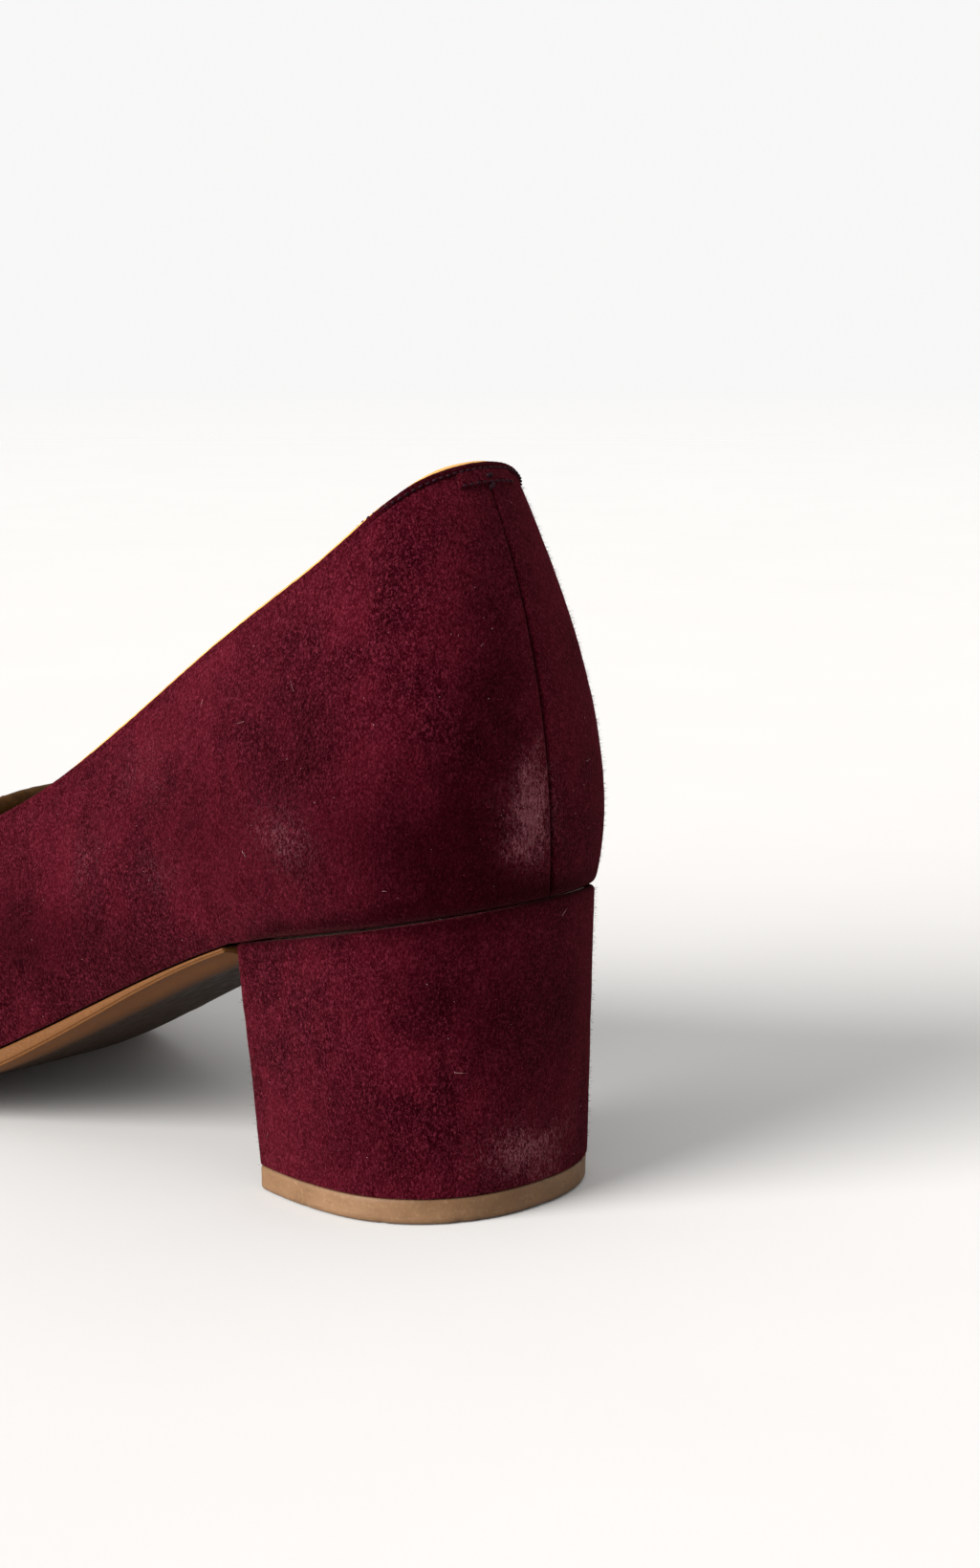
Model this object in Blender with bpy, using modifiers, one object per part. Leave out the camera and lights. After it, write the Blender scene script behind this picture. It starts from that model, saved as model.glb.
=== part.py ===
"""A heeled penny loafer, the left shoe of a pair: suede upper, covered block heel, thin leather sole.

The shoe stands on the floor at z = 0 with its toe towards -Y, its heel towards +Y and its outer side
towards +X. The upper is laid on one last, a closed wall with a lid, and every layer of the upper is
the same patch of that last at its own depth.
"""

import math

import bmesh
import bpy
import numpy as np

MM = 0.001

# Where the drawing's zero (the floor point under the heel's back edge) lies in the finished shoe's frame.
DRAWING_SHIFT = (0.029, 109.07, 0.0)

# Stations round the last, in mm, from the heel's back to the toe's tip. A row holds the feather point
# (x, y), the top edge point (x, y, z), how far the wall bulges above the feather, and how far it still
# stands out just below the top edge.
LATERAL = (
    (0.0, 2.3, 0.0, -10.9, 108.9, 1.2, 11.0),
    (13.4, -1.2, 9.4, -12.9, 107.3, 2.0, 9.8),
    (21.3, -9.4, 15.2, -18.2, 102.4, 3.2, 8.0),
    (24.9, -20.0, 18.7, -27.8, 94.0, 4.0, 6.6),
    (26.0, -38.0, 20.7, -44.5, 82.6, 4.0, 5.6),
    (26.6, -58.0, 21.8, -62.0, 70.0, 3.6, 5.2),
    (28.8, -80.0, 23.3, -80.5, 57.1, 3.6, 5.0),
    (33.8, -105.0, 24.9, -99.0, 47.4, 3.8, 5.4),
    (37.6, -130.0, 27.2, -124.0, 38.2, 4.6, 6.4),
    (37.2, -157.0, 28.4, -152.0, 31.8, 5.2, 6.8),
    (30.6, -185.0, 24.2, -179.5, 28.8, 5.4, 6.8),
    (18.2, -208.5, 14.2, -199.0, 28.0, 5.2, 6.8),
    (-2.5, -219.5, -2.4, -205.5, 28.2, 5.0, 6.8),
)
MEDIAL = (
    LATERAL[0],
    (-13.4, -1.2, -9.1, -12.9, 107.3, 3.6, 9.4),
    (-21.3, -9.4, -14.7, -18.2, 102.6, 6.2, 7.6),
    (-24.7, -20.0, -18.3, -27.8, 95.6, 6.9, 6.4),
    (-24.6, -38.0, -20.4, -44.5, 86.6, 6.2, 5.8),
    (-22.8, -58.0, -21.2, -62.0, 75.4, 4.4, 5.4),
    (-22.8, -80.0, -22.0, -80.5, 61.8, 4.4, 5.2),
    (-28.2, -105.0, -23.8, -99.0, 49.6, 5.0, 5.4),
    (-35.6, -130.0, -26.6, -124.0, 38.8, 5.0, 6.4),
    (-38.0, -157.0, -28.8, -152.0, 32.2, 5.0, 6.8),
    (-34.2, -185.0, -26.4, -179.5, 28.9, 5.4, 6.8),
    (-23.0, -208.5, -18.8, -199.0, 28.0, 5.2, 6.8),
    LATERAL[-1],
)
TOE = 12.0
STATION_STEP = 1 / 3
RING = np.array(LATERAL + MEDIAL[-2:0:-1])
WALL_RISE = (0.30, 0.35)

# The line of the feather edge seen from the side: a flat heel seat, then the arch, ball and toe spring.
BREAST_Y = -38.6
SEAT_HEIGHT = 38.4
SEAT_SLOPE = 0.2127
ARCH = ((BREAST_Y, SEAT_HEIGHT), (-47.0, 34.9), (-58.0, 29.8), (-70.0, 23.7), (-81.0, 18.0), (-92.0, 12.6),
        (-106.0, 7.2), (-122.0, 3.9), (-140.0, 2.2), (-160.0, 3.6), (-182.0, 5.5), (-206.0, 8.8),
        (-234.0, 14.0))
TREAD_HEIGHT = 2.9

# The inner side of the waist is raised under the foot's arch: (y, lift) in mm, full at the inner edge.
INNER_ARCH = ((BREAST_Y, 0.0), (-48.0, 2.6), (-60.0, 5.4), (-72.0, 6.2), (-84.0, 5.6), (-98.0, 4.0),
              (-114.0, 1.8), (-132.0, 0.0))
INNER_ARCH_REACH = 22.0

GAP = 0.3
OUTER, STIFFENER, LINING = 1.0, 1.0, 0.8
COUNTER_END, PUFF_END, STIFFENER_FADE = 4.7, 9.4, 1.0
THROAT, JOINT = 7.5, 8.42
STRAP = (8.0, 8.92)

# The lid's crown at stations from the throat to the toe's tip: (station, rise in mm over the seams).
CROWN = ((7.0, 4.6), (7.5, 5.6), (8.0, 6.4), (8.5, 7.8), (9.0, 8.6), (10.0, 7.0), (11.0, 4.2), (11.6, 1.9),
         (12.0, 0.4))
CROWN_POWER = 2.2

SOLE_THICKNESS = 2.6
SOLE_START = 4.13
SOLE_INSET = 0.5
FILLER_THICKNESS = 1.2
FILLER_SPAN = (7.6, 11.6)
FILLER_INSET = 6.5
SHANK_CLEAR = 0.2
INSOLE_THICKNESS = 2.0
SOCK_THICKNESS = 1.0
PAD_THICKNESS = 2.0
PAD_SPAN = (0.4, 4.0)
PAD_INSET = 6.4
INSOLE_CLEAR = 1.0

TOP_PIECE_HEIGHT = 3.8
HEEL_POWER = 2.24
HEEL_FLOOR = {"back": 0.0, "half_width": 23.9, "arc": 21.7, "length": 37.2, "breast": 21.9}
HEEL_SEAT = {"back": 2.1, "half_width": 25.1, "arc": 27.8, "length": 40.4, "breast": 25.4}
BREAST_HOLLOW = 1.6
HEEL_COVER = 1.0

# Fasteners: where they stand in plan, (head radius, head height), radius and reach below the head's top.
NAIL_PLACES = ((10.0, -10.0), (-10.0, -10.0), (13.0, -29.0), (-13.0, -29.0))
NAIL_HEAD, NAIL_RADIUS, NAIL_REACH = (2.0, 0.7), 0.9, 18.0
SCREW_PLACE = (0.0, -19.0)
SCREW_HEAD, SCREW_RADIUS, SCREW_REACH = (3.4, 1.0), 2.0, 30.0
PIN_PLACES = ((9.5, -16.0), (-9.5, -16.0))
RIVET_PLACES = (-62.0, -104.0)

SUEDE = ((0.115, 0.010, 0.018), 0.95, 0.0)
LEATHER_TAN = ((0.42, 0.22, 0.10), 0.55, 0.0)
LINING_TAN = ((0.30, 0.17, 0.07), 0.60, 0.0)
LEATHER_SOLE = ((0.36, 0.18, 0.08), 0.60, 0.0)
RUBBER_TAN = ((0.30, 0.17, 0.09), 0.70, 0.0)
FIBREBOARD = ((0.33, 0.24, 0.15), 0.85, 0.0)
CORK = ((0.35, 0.20, 0.10), 0.90, 0.0)
FOAM = ((0.55, 0.50, 0.40), 0.90, 0.0)
HEEL_PLASTIC = ((0.62, 0.60, 0.55), 0.45, 0.0)
STEEL = ((0.55, 0.55, 0.56), 0.35, 1.0)


def ring_slopes(rows):
    """The slopes of the closed, evenly spaced cubic spline through the rows."""
    one = np.eye(len(rows))
    system = 4 * one + np.roll(one, 1, axis=1) + np.roll(one, -1, axis=1)
    return np.linalg.solve(system, 3 * (np.roll(rows, -1, axis=0) - np.roll(rows, 1, axis=0)))


RING_SLOPES = ring_slopes(RING)


def hermite(t, a, b, slope_a, slope_b):
    """A cubic from a to b with the given slopes, at shares t of the way."""
    square, cube = t * t, t * t * t
    return ((2 * cube - 3 * square + 1) * a + (cube - 2 * square + t) * slope_a
            + (3 * square - 2 * cube) * b + (cube - square) * slope_b)


def station(u):
    """The last's row of values at u, which runs round it from the heel's back by way of the outer side."""
    u = np.asarray(u, float)
    whole = np.floor(u)
    here = whole.astype(int) % len(RING)
    there = (here + 1) % len(RING)
    return hermite((u - whole)[..., None], RING[here], RING[there], RING_SLOPES[here], RING_SLOPES[there])


def curve_through(points, x):
    """The value at x of a smooth curve through (x, value) points."""
    xs, ys = np.array(sorted(points)).T
    slopes = np.gradient(ys, xs)
    i = np.clip(np.searchsorted(xs, x) - 1, 0, len(xs) - 2)
    run = xs[i + 1] - xs[i]
    t = np.clip((x - xs[i]) / run, 0, 1)
    return hermite(t, ys[i], ys[i + 1], slopes[i] * run, slopes[i + 1] * run)


def smooth(share):
    """An even step from 0 to 1 that starts and ends level."""
    share = np.clip(share, 0, 1)
    return share * share * (3 - 2 * share)


def feather_height(x, y):
    """The height of the feather surface, where the upper meets the sole, at a place in plan."""
    seat = SEAT_HEIGHT + SEAT_SLOPE * (y - BREAST_Y)
    arch = np.maximum(curve_through(ARCH, y), TREAD_HEIGHT)
    lift = curve_through(INNER_ARCH, y) * smooth(-x / INNER_ARCH_REACH)
    return np.where(y > BREAST_Y, seat, arch + lift)


def plan(u, inset=0.0):
    """The feather outline in plan at u, drawn in by the inset, with its outward direction."""
    step = 0.02
    along = station(u + step)[..., :2] - station(u - step)[..., :2]
    along /= np.linalg.norm(along, axis=-1, keepdims=True)
    outward = np.stack([-along[..., 1], along[..., 0]], axis=-1)
    return station(u)[..., :2] - np.asarray(inset)[..., None] * outward, outward


def wall(u, v):
    """The last's wall at u round it and v up it, from 0 at the feather to 1 at the top edge."""
    row = station(u)
    foot, outward = plan(u)
    outward = np.concatenate([outward, np.zeros_like(outward[..., :1])], axis=-1)
    low = np.concatenate([foot, feather_height(foot[..., 0], foot[..., 1])[..., None]], axis=-1)
    high = row[..., 2:5]
    tall = (high - low)[..., 2:3] * np.array([0.0, 0.0, 1.0])
    low_handle = low + WALL_RISE[0] * tall + outward * row[..., 5:6]
    high_handle = high - WALL_RISE[1] * tall + outward * row[..., 6:7]
    v = v[..., None]
    w = 1 - v
    return w ** 3 * low + 3 * w * w * v * low_handle + 3 * w * v * v * high_handle + v ** 3 * high


def lid(u, w):
    """The last's top over the forepart, at station u and a share w of the way across it."""
    outer, inner = station(u)[..., 2:5], station(2 * TOE - u)[..., 2:5]
    w = w[..., None]
    across = (1 - w) * outer + w * inner
    crown = curve_through(CROWN, u)[..., None] * (1 - np.abs(2 * w - 1) ** CROWN_POWER)
    return across + crown * np.array([0.0, 0.0, 1.0])


def outward_normals(surface, a, b):
    """Unit normals of surface(a, b), pointing out of the last."""
    step = 0.004
    along_a = surface(a + step, b) - surface(a - step, b)
    along_b = surface(a, b + step) - surface(a, b - step)
    normals = np.cross(along_b, along_a)
    return normals / np.maximum(np.linalg.norm(normals, axis=-1, keepdims=True), 1e-9)


def layer_depth(u):
    """How deep under the last's surface the lining's outer face lies at u."""
    from_heel = np.minimum(np.abs(u), np.abs(2 * TOE - u))
    counter = 1 - np.clip((from_heel - COUNTER_END) / STIFFENER_FADE, 0, 1)
    puff = 1 - np.clip((PUFF_END - from_heel) / STIFFENER_FADE, 0, 1)
    stiffened = np.clip(counter + puff, 0, 1)
    return OUTER + GAP + stiffened * (STIFFENER + GAP)


def stations(u_from, u_to):
    """The two ends and every shared station between them, so that stacked layers keep parallel facets."""
    first, last, room = min(u_from, u_to), max(u_from, u_to), 0.05
    lowest, highest = math.ceil((first + room) / STATION_STEP), math.floor((last - room) / STATION_STEP)
    found = np.concatenate([[first], np.arange(lowest, highest + 1) * STATION_STEP, [last]])
    return found if u_from < u_to else found[::-1]


def wall_patch(u_from, u_to, rows, depth, low=0.0, high=0.0):
    """A grid of points on the wall, at a depth under it, leaving out low and high mm at its edges."""
    u, share = np.meshgrid(stations(u_from, u_to), np.linspace(0, 1, rows + 1), indexing="ij")
    length = np.linalg.norm(wall(u, np.ones_like(u)) - wall(u, np.zeros_like(u)), axis=-1)
    v = low / length + share * (1 - (low + high) / length)
    depth = depth(u) if callable(depth) else depth
    return wall(u, v) - outward_normals(wall, u, v) * np.broadcast_to(np.asarray(depth), u.shape)[..., None]


def lid_patch(u_from, u_to, rows, depth, edge=0.0):
    """A grid of points on the lid, at a depth under it, leaving out edge mm along both seams."""
    u, share = np.meshgrid(stations(u_from, u_to), np.linspace(0, 1, rows + 1), indexing="ij")
    width = np.linalg.norm(lid(u, np.ones_like(u)) - lid(u, np.zeros_like(u)), axis=-1)
    cut = np.minimum(edge / np.maximum(width, 1e-6), 0.3)
    w = cut + share * (1 - 2 * cut)
    return lid(u, w) - outward_normals(lid, u, w) * depth


def plate_patch(u_from, u_to, rows, inset, lift):
    """A grid of points across the bottom of the last, at a height over the feather line."""
    u, w = np.meshgrid(stations(u_from, u_to), np.linspace(0, 1, rows + 1), indexing="ij")
    drawn_in = inset(u) if callable(inset) else inset
    outer, inner = plan(u, drawn_in)[0], plan(2 * TOE - u, drawn_in)[0]
    flat = outer + (inner - outer) * w[..., None]
    x, y, step = flat[..., 0], flat[..., 1], 0.5
    slope_x = (feather_height(x + step, y) - feather_height(x - step, y)) / (2 * step)
    slope_y = (feather_height(x, y + step) - feather_height(x, y - step)) / (2 * step)
    up = np.stack([-slope_x, -slope_y, np.ones_like(x)], axis=-1)
    up /= np.linalg.norm(up, axis=-1, keepdims=True)
    rise = np.broadcast_to(lift(y) if callable(lift) else lift, y.shape)
    return np.stack([x, y, feather_height(x, y)], axis=-1) + up * rise[..., None]


def placed(points):
    """Drawing points in mm as metres in the finished shoe's frame."""
    return (np.asarray(points, float) + DRAWING_SHIFT) * MM


def material(name, look):
    """A Principled material, made once for each name."""
    made = bpy.data.materials.get(name)
    if made is None:
        colour, roughness, metallic = look
        made = bpy.data.materials.new(name)
        made.use_nodes = True
        shader = made.node_tree.nodes["Principled BSDF"]
        shader.inputs["Base Color"].default_value = (*colour, 1.0)
        shader.inputs["Roughness"].default_value = roughness
        shader.inputs["Metallic"].default_value = metallic
    return made


def add_object(name, data, look, home):
    """An object of that mesh or curve in a collection, with its own material."""
    made = bpy.data.objects.new(name, data)
    if look:
        data.materials.append(material(name + "_finish", look))
    home.objects.link(made)
    return made


def mesh_of(name, points, faces):
    """A mesh of those points and faces, with coincident points merged and faces consistent."""
    mesh = bpy.data.meshes.new(name)
    mesh.from_pydata(placed(points).tolist(), [], faces)
    builder = bmesh.new()
    builder.from_mesh(mesh)
    bmesh.ops.remove_doubles(builder, verts=builder.verts, dist=1e-7)
    bmesh.ops.dissolve_degenerate(builder, edges=builder.edges, dist=1e-8)
    builder.to_mesh(mesh)
    builder.free()
    mesh.shade_smooth()
    return mesh


def grid_mesh(name, grid, flip=False):
    """An open surface from a grid of points; flip turns its faces over."""
    columns, rows = grid.shape[:2]
    faces = []
    for i in range(columns - 1):
        for j in range(rows - 1):
            corner = i * rows + j
            face = (corner, corner + 1, corner + rows + 1, corner + rows)
            faces.append(face[::-1] if flip else face)
    return mesh_of(name, grid.reshape(-1, 3), faces)


def shell(name, grid, thickness, look, home, flip=False, outwards=False):
    """A sheet of that thickness, its drawn surface outside, or inside where it is built outwards."""
    made = add_object(name, grid_mesh(name, grid, flip), look, home)
    thicken = made.modifiers.new("Thickness", "SOLIDIFY")
    thicken.thickness = thickness * MM
    thicken.offset = 1.0 if outwards else -1.0
    return made


def loft(name, rings, look, home):
    """A closed solid through rings of equally many points, capped at both ends."""
    count = len(rings[0])
    faces = [tuple(range(count))[::-1]]
    for i in range(len(rings) - 1):
        for j in range(count):
            k = (j + 1) % count
            faces.append((i * count + j, i * count + k, (i + 1) * count + k, (i + 1) * count + j))
    last = (len(rings) - 1) * count
    faces.append(tuple(range(last, last + count)))
    made = add_object(name, mesh_of(name, np.concatenate(rings), faces), look, home)
    made.data.set_sharp_from_angle(angle=math.radians(40))
    return made


def turned(name, profile, place, look, home, sides=12):
    """A turned solid: its profile of (radius, height) runs down its outer side, from the axis to the axis."""
    edges = [(i, i + 1) for i in range(len(profile) - 1)]
    mesh = bpy.data.meshes.new(name)
    mesh.from_pydata([(radius * MM, 0.0, height * MM) for radius, height in profile], edges, [])
    made = add_object(name, mesh, look, home)
    made.location = placed((*place, 0.0))
    spin = made.modifiers.new("Turn", "SCREW")
    spin.steps = spin.render_steps = sides
    spin.use_merge_vertices = True
    spin.merge_threshold = 1e-6
    spin.use_smooth_shade = True
    return made


def cut(target, cutter):
    """Takes the cutter's shape out of the target."""
    cutter.hide_render = True
    cutter.display_type = "WIRE"
    trim = target.modifiers.new("Cut " + cutter.name, "BOOLEAN")
    trim.operation = "DIFFERENCE"
    trim.solver = "EXACT"
    trim.object = cutter


def fastener(name, place, top, head, shank, reach, targets, home, cutters):
    """A headed nail, screw or rivet driven down from its top, with clearance holes in its targets."""
    head_radius, head_height = head
    profile = [(0, top), (head_radius, top), (head_radius, top - head_height),
               (shank, top - head_height), (shank, top - reach), (0, top - reach)]
    turned(name, profile, place, STEEL, home)
    room = [(0, top + 4), (head_radius + GAP, top + 4), (head_radius + GAP, top - head_height - GAP),
            (shank + GAP, top - head_height - GAP), (shank + GAP, top - reach - GAP), (0, top - reach - GAP)]
    hole = turned(name + "_hole", room, place, None, cutters)
    for target in targets:
        cut(target, hole)


def heel_ring(share, inset=0.0):
    """The D-shaped outline of the heel at a share of its height, drawn in by the inset."""
    size = {key: HEEL_FLOOR[key] + (HEEL_SEAT[key] - HEEL_FLOOR[key]) * share for key in HEEL_FLOOR}
    wide, arc = size["half_width"] - inset, size["arc"] - inset
    middle = size["back"] - size["arc"]
    front = size["back"] - size["length"] + inset
    breast = size["breast"] - inset
    turn = np.linspace(0, math.pi, 25)
    bend = 2 / HEEL_POWER
    x = wide * np.sign(np.cos(turn)) * np.abs(np.cos(turn)) ** bend
    y = middle + arc * np.abs(np.sin(turn)) ** bend
    side = np.linspace(0, 1, 4)[1:]
    side_x = -wide + (wide - breast) * side ** 2
    side_y = middle + (front - middle) * side
    across = np.linspace(-1, 1, 9)[1:-1]
    hollow_y = front + BREAST_HOLLOW * (1 - across ** 2)
    x = np.concatenate([x, side_x, across * breast, -side_x[::-1]])
    y = np.concatenate([y, side_y, hollow_y, side_y[::-1]])
    return np.stack([x, y], axis=-1)


def heel_level(share, inset, lowest, under_seat):
    """The heel's outline in space: level at the floor end, and lying along the seat at the top end."""
    flat = heel_ring(share, inset)
    seat = SEAT_HEIGHT + SEAT_SLOPE * (flat[:, 1] - BREAST_Y) - under_seat
    height = lowest + (seat - lowest) * share
    return np.concatenate([flat, height[:, None]], axis=-1)


def level_ring(inset, height):
    """The heel's outline at the floor end, drawn in by the inset and laid level at a height."""
    flat = heel_ring(0.0, inset)
    return np.concatenate([flat, np.full((len(flat), 1), height)], axis=-1)


def collection(name):
    made = bpy.data.collections.new(name)
    bpy.context.scene.collection.children.link(made)
    return made


def build_sole(home):
    """The outsole, the cork filler above it and the insole board."""
    outsole = plate_patch(SOLE_START, TOE, 6, SOLE_INSET, -GAP)
    shell("outsole", outsole, SOLE_THICKNESS, LEATHER_SOLE, home)
    filler = plate_patch(*FILLER_SPAN, 4, FILLER_INSET, 0.0)
    shell("forepart_filler", filler, FILLER_THICKNESS, CORK, home, outwards=True)
    board = plate_patch(0.0, TOE, 6, insole_inset, FILLER_THICKNESS + 2 * GAP)
    return shell("insole_board", board, INSOLE_THICKNESS, FIBREBOARD, home, outwards=True)


def insole_inset(u):
    """How far inside the feather outline the footbed ends at u: just clear of the lining."""
    return layer_depth(u) + LINING + INSOLE_CLEAR


def insole_top(y):
    """Where the pieces on the insole board start, over the feather surface."""
    return np.full_like(y, FILLER_THICKNESS + 3 * GAP + INSOLE_THICKNESS)


def sock_lift(y):
    """The sock's lower face over the feather line: it climbs over the heel pad."""
    return insole_top(y) + (PAD_THICKNESS + GAP) * smooth((y + 62.0) / 14.0)


def build_footbed(home):
    """The foam heel pad and the leather sock over it."""
    pad = plate_patch(*PAD_SPAN, 6, PAD_INSET, insole_top)
    shell("heel_pad", pad, PAD_THICKNESS, FOAM, home, outwards=True)
    sock = plate_patch(0.0, TOE, 6, insole_inset, sock_lift)
    shell("sock_lining", sock, SOCK_THICKNESS, LEATHER_TAN, home, outwards=True)


def build_shank(board, home, cutters):
    """The steel shank under the insole board, riveted to it at both ends."""
    half_width, rear, fore = 5.5, -50.0, -112.0
    y, x = np.meshgrid(np.linspace(rear, fore, 15), np.linspace(half_width, -half_width, 3), indexing="ij")
    grid = np.stack([x, y, feather_height(x, y) + SHANK_CLEAR], axis=-1)
    shank = shell("shank", grid, FILLER_THICKNESS - SHANK_CLEAR, STEEL, home, outwards=True)
    for name, y in zip(("shank_rivet_rear", "shank_rivet_front"), RIVET_PLACES):
        top = float(feather_height(0.0, np.array(y))) + FILLER_THICKNESS + 2 * GAP + INSOLE_THICKNESS - 0.9
        fastener(name, (0.0, y), top, (1.8, 0.5), 1.0, 2.4, (board, shank), home, cutters)


def build_upper(home):
    """The suede quarters, vamp and apron, and the stiffeners and linings under them."""
    ends = 0.02
    rear, fore = JOINT - ends, JOINT + ends
    full = 2 * TOE
    shell("quarter_outer", wall_patch(ends, rear, 8, 0.0, 0.0, GAP), OUTER, SUEDE, home)
    shell("quarter_inner", wall_patch(full - rear, full - ends, 8, 0.0, 0.0, GAP), OUTER, SUEDE, home)
    shell("vamp", wall_patch(fore, full - fore, 6, 0.0, 0.0, 0.5), OUTER, SUEDE, home)
    shell("apron", lid_patch(fore, 11.55, 8, 0.0, 0.5), OUTER, SUEDE, home)
    shell("tongue", lid_patch(THROAT, rear, 8, 0.0, 0.8), OUTER, SUEDE, home)
    stiffener_depth = OUTER + GAP
    counter = wall_patch(-COUNTER_END, COUNTER_END, 8, stiffener_depth, 0.4, 9.0)
    shell("heel_counter", counter, STIFFENER, FIBREBOARD, home)
    puff = wall_patch(PUFF_END + 0.1, full - PUFF_END - 0.1, 6, stiffener_depth, 0.4, 1.6)
    shell("toe_puff", puff, STIFFENER, FIBREBOARD, home)
    shell("quarter_lining", wall_patch(-rear, rear, 8, layer_depth, 0.0, GAP), LINING, LINING_TAN, home)
    shell("vamp_lining", wall_patch(fore, full - fore, 6, layer_depth, 0.0, 1.6), LINING, LINING_TAN, home)
    shell("apron_lining", lid_patch(fore, 11.3, 6, OUTER + GAP, 3.0), LINING, LINING_TAN, home)
    shell("tongue_lining", lid_patch(THROAT, rear, 8, OUTER + GAP, 2.6), LINING, LINING_TAN, home)


def build_strap(home, cutters):
    """The saddle strap from feather to feather over the instep, with its coin slot."""
    rows, across = 7, 12
    clear, thick, foot = 0.35, 1.2, 1.0
    u_from, u_to = STRAP
    outer = wall_patch(u_from, u_to, rows, -clear, foot, 1.0)
    over = lid_patch(u_from, u_to, across, -clear, 1.0)
    inner = wall_patch(2 * TOE - u_from, 2 * TOE - u_to, rows, -clear, foot, 1.0)[:, ::-1]
    path = np.concatenate([outer, over, inner], axis=1)
    strap = shell("saddle_strap", path, thick, SUEDE, home, outwards=True)
    middle_u = (u_from + u_to) / 2
    centre = lid(np.array(middle_u), np.array(0.5))
    turn = np.linspace(0, 2 * math.pi, 20, endpoint=False)
    half_length, half_width = 9.0, 2.4
    x = centre[0] + half_length * np.cos(turn)
    y = centre[1] + half_width * np.sin(turn) * (1 - 0.35 * np.cos(turn) ** 2)
    rings = [np.stack([x, y, np.full_like(x, centre[2] + lift)], axis=-1) for lift in (-8.0, 8.0)]
    cut(strap, loft("coin_slot", rings, None, cutters))


def build_binding(home):
    """The suede binding that caps the topline, from one corner of the throat round the heel to the other."""
    u = np.linspace(-THROAT + 0.02, THROAT - 0.02, 61)
    edge, below = wall(u, np.ones_like(u)), wall(u, np.full_like(u, 0.96))
    up = (edge - below) / np.linalg.norm(edge - below, axis=-1, keepdims=True)
    out = outward_normals(wall, u, np.full_like(u, 0.99))
    inside = -(layer_depth(u) + LINING)[:, None]
    proud, tall = 0.15, 1.2
    section = ((proud, 0.0), (proud, 0.75), (0.0, 1.0), (1.0, 1.0), (1.0, 0.0))
    corners = []
    for reach, lift in section:
        offset = inside if reach == 1.0 else reach
        corners.append(edge + out * offset + up * lift * tall)
    rings = np.stack(corners, axis=1)
    loft("topline_binding", list(rings), SUEDE, home)


def build_seam_roll(home):
    """The raised moccasin seam between apron and vamp, from one end of the strap round the toe to the other."""
    radius, stand = 1.2, 1.55
    u = np.linspace(STRAP[1] + 0.12, 2 * TOE - STRAP[1] - 0.12, 41)
    edge = wall(u, np.ones_like(u))
    side = outward_normals(wall, u, np.full_like(u, 0.98))
    lean = side + np.array([0.0, 0.0, 1.0])
    points = placed(edge + stand * lean / np.linalg.norm(lean, axis=-1, keepdims=True))
    path = bpy.data.curves.new("apron_seam", "CURVE")
    path.dimensions = "3D"
    path.bevel_depth = radius * MM
    path.bevel_resolution = 2
    path.use_fill_caps = True
    line = path.splines.new("POLY")
    line.points.add(len(points) - 1)
    for target, point in zip(line.points, points):
        target.co = (*point, 1.0)
    add_object("apron_seam", path, SUEDE, home)


def build_heel(board, home, cutters):
    """The moulded heel block in its suede cover, its top piece, and what fastens them."""
    lowest = TOP_PIECE_HEIGHT + GAP
    shares = np.linspace(0, 1, 6)
    under_seat = 0.45
    cover = [heel_level(share, 0.0, lowest, under_seat) for share in shares]
    sides = np.stack(cover, axis=0)
    closed = np.concatenate([sides, sides[:, :1]], axis=1)
    shell("heel_cover", closed, HEEL_COVER, SUEDE, home)
    inset = HEEL_COVER + GAP
    core = [heel_level(share, inset, lowest, under_seat) for share in shares]
    block = loft("heel_block", core, HEEL_PLASTIC, home)
    edge_break = 0.5
    levels = ((0.0, edge_break), (edge_break, 0.0), (TOP_PIECE_HEIGHT, 0.0))
    top_piece = loft("top_piece", [level_ring(drawn_in, z) for z, drawn_in in levels], RUBBER_TAN, home)
    for name, place in zip(("top_piece_pin_outer", "top_piece_pin_inner"), PIN_PLACES):
        radius, top, foot = 1.3, 16.0, 1.6
        turned(name, [(0, top), (radius, top), (radius, foot), (0, foot)], place, STEEL, home)
        wide, high, low = radius + GAP, top + GAP, foot - GAP
        room = turned(name + "_hole", [(0, high), (wide, high), (wide, low), (0, low)], place, None, cutters)
        cut(block, room)
        cut(top_piece, room)
    through = (board, block)
    for i, place in enumerate(NAIL_PLACES):
        name = f"heel_nail_{i + 1}"
        fastener(name, place, nail_top(place), NAIL_HEAD, NAIL_RADIUS, NAIL_REACH, through, home, cutters)
    top = nail_top(SCREW_PLACE)
    fastener("heel_screw", SCREW_PLACE, top, SCREW_HEAD, SCREW_RADIUS, SCREW_REACH, through, home, cutters)


def nail_top(place):
    """The height of a fastener's head, just under the insole board's upper face."""
    head_drop = 0.8
    return float(feather_height(*np.array(place))) + float(insole_top(np.array(0.0))) - GAP - head_drop


def main():
    for existing in list(bpy.data.objects):
        bpy.data.objects.remove(existing, do_unlink=True)
    home = collection("penny_loafer")
    cutters = collection("cutters")
    board = build_sole(home)
    build_footbed(home)
    build_shank(board, home, cutters)
    build_upper(home)
    build_strap(home, cutters)
    build_binding(home)
    build_seam_roll(home)
    build_heel(board, home, cutters)


main()
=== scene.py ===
"""The looks of the burgundy suede penny loafer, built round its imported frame.

The upper is drawn on the same last as the CAD part: a closed wall with a lid, in millimetres, with the toe
towards -Y and the outer side towards +X. Each layer is a fine patch of that last at its own depth.
"""

import itertools
import math

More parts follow.
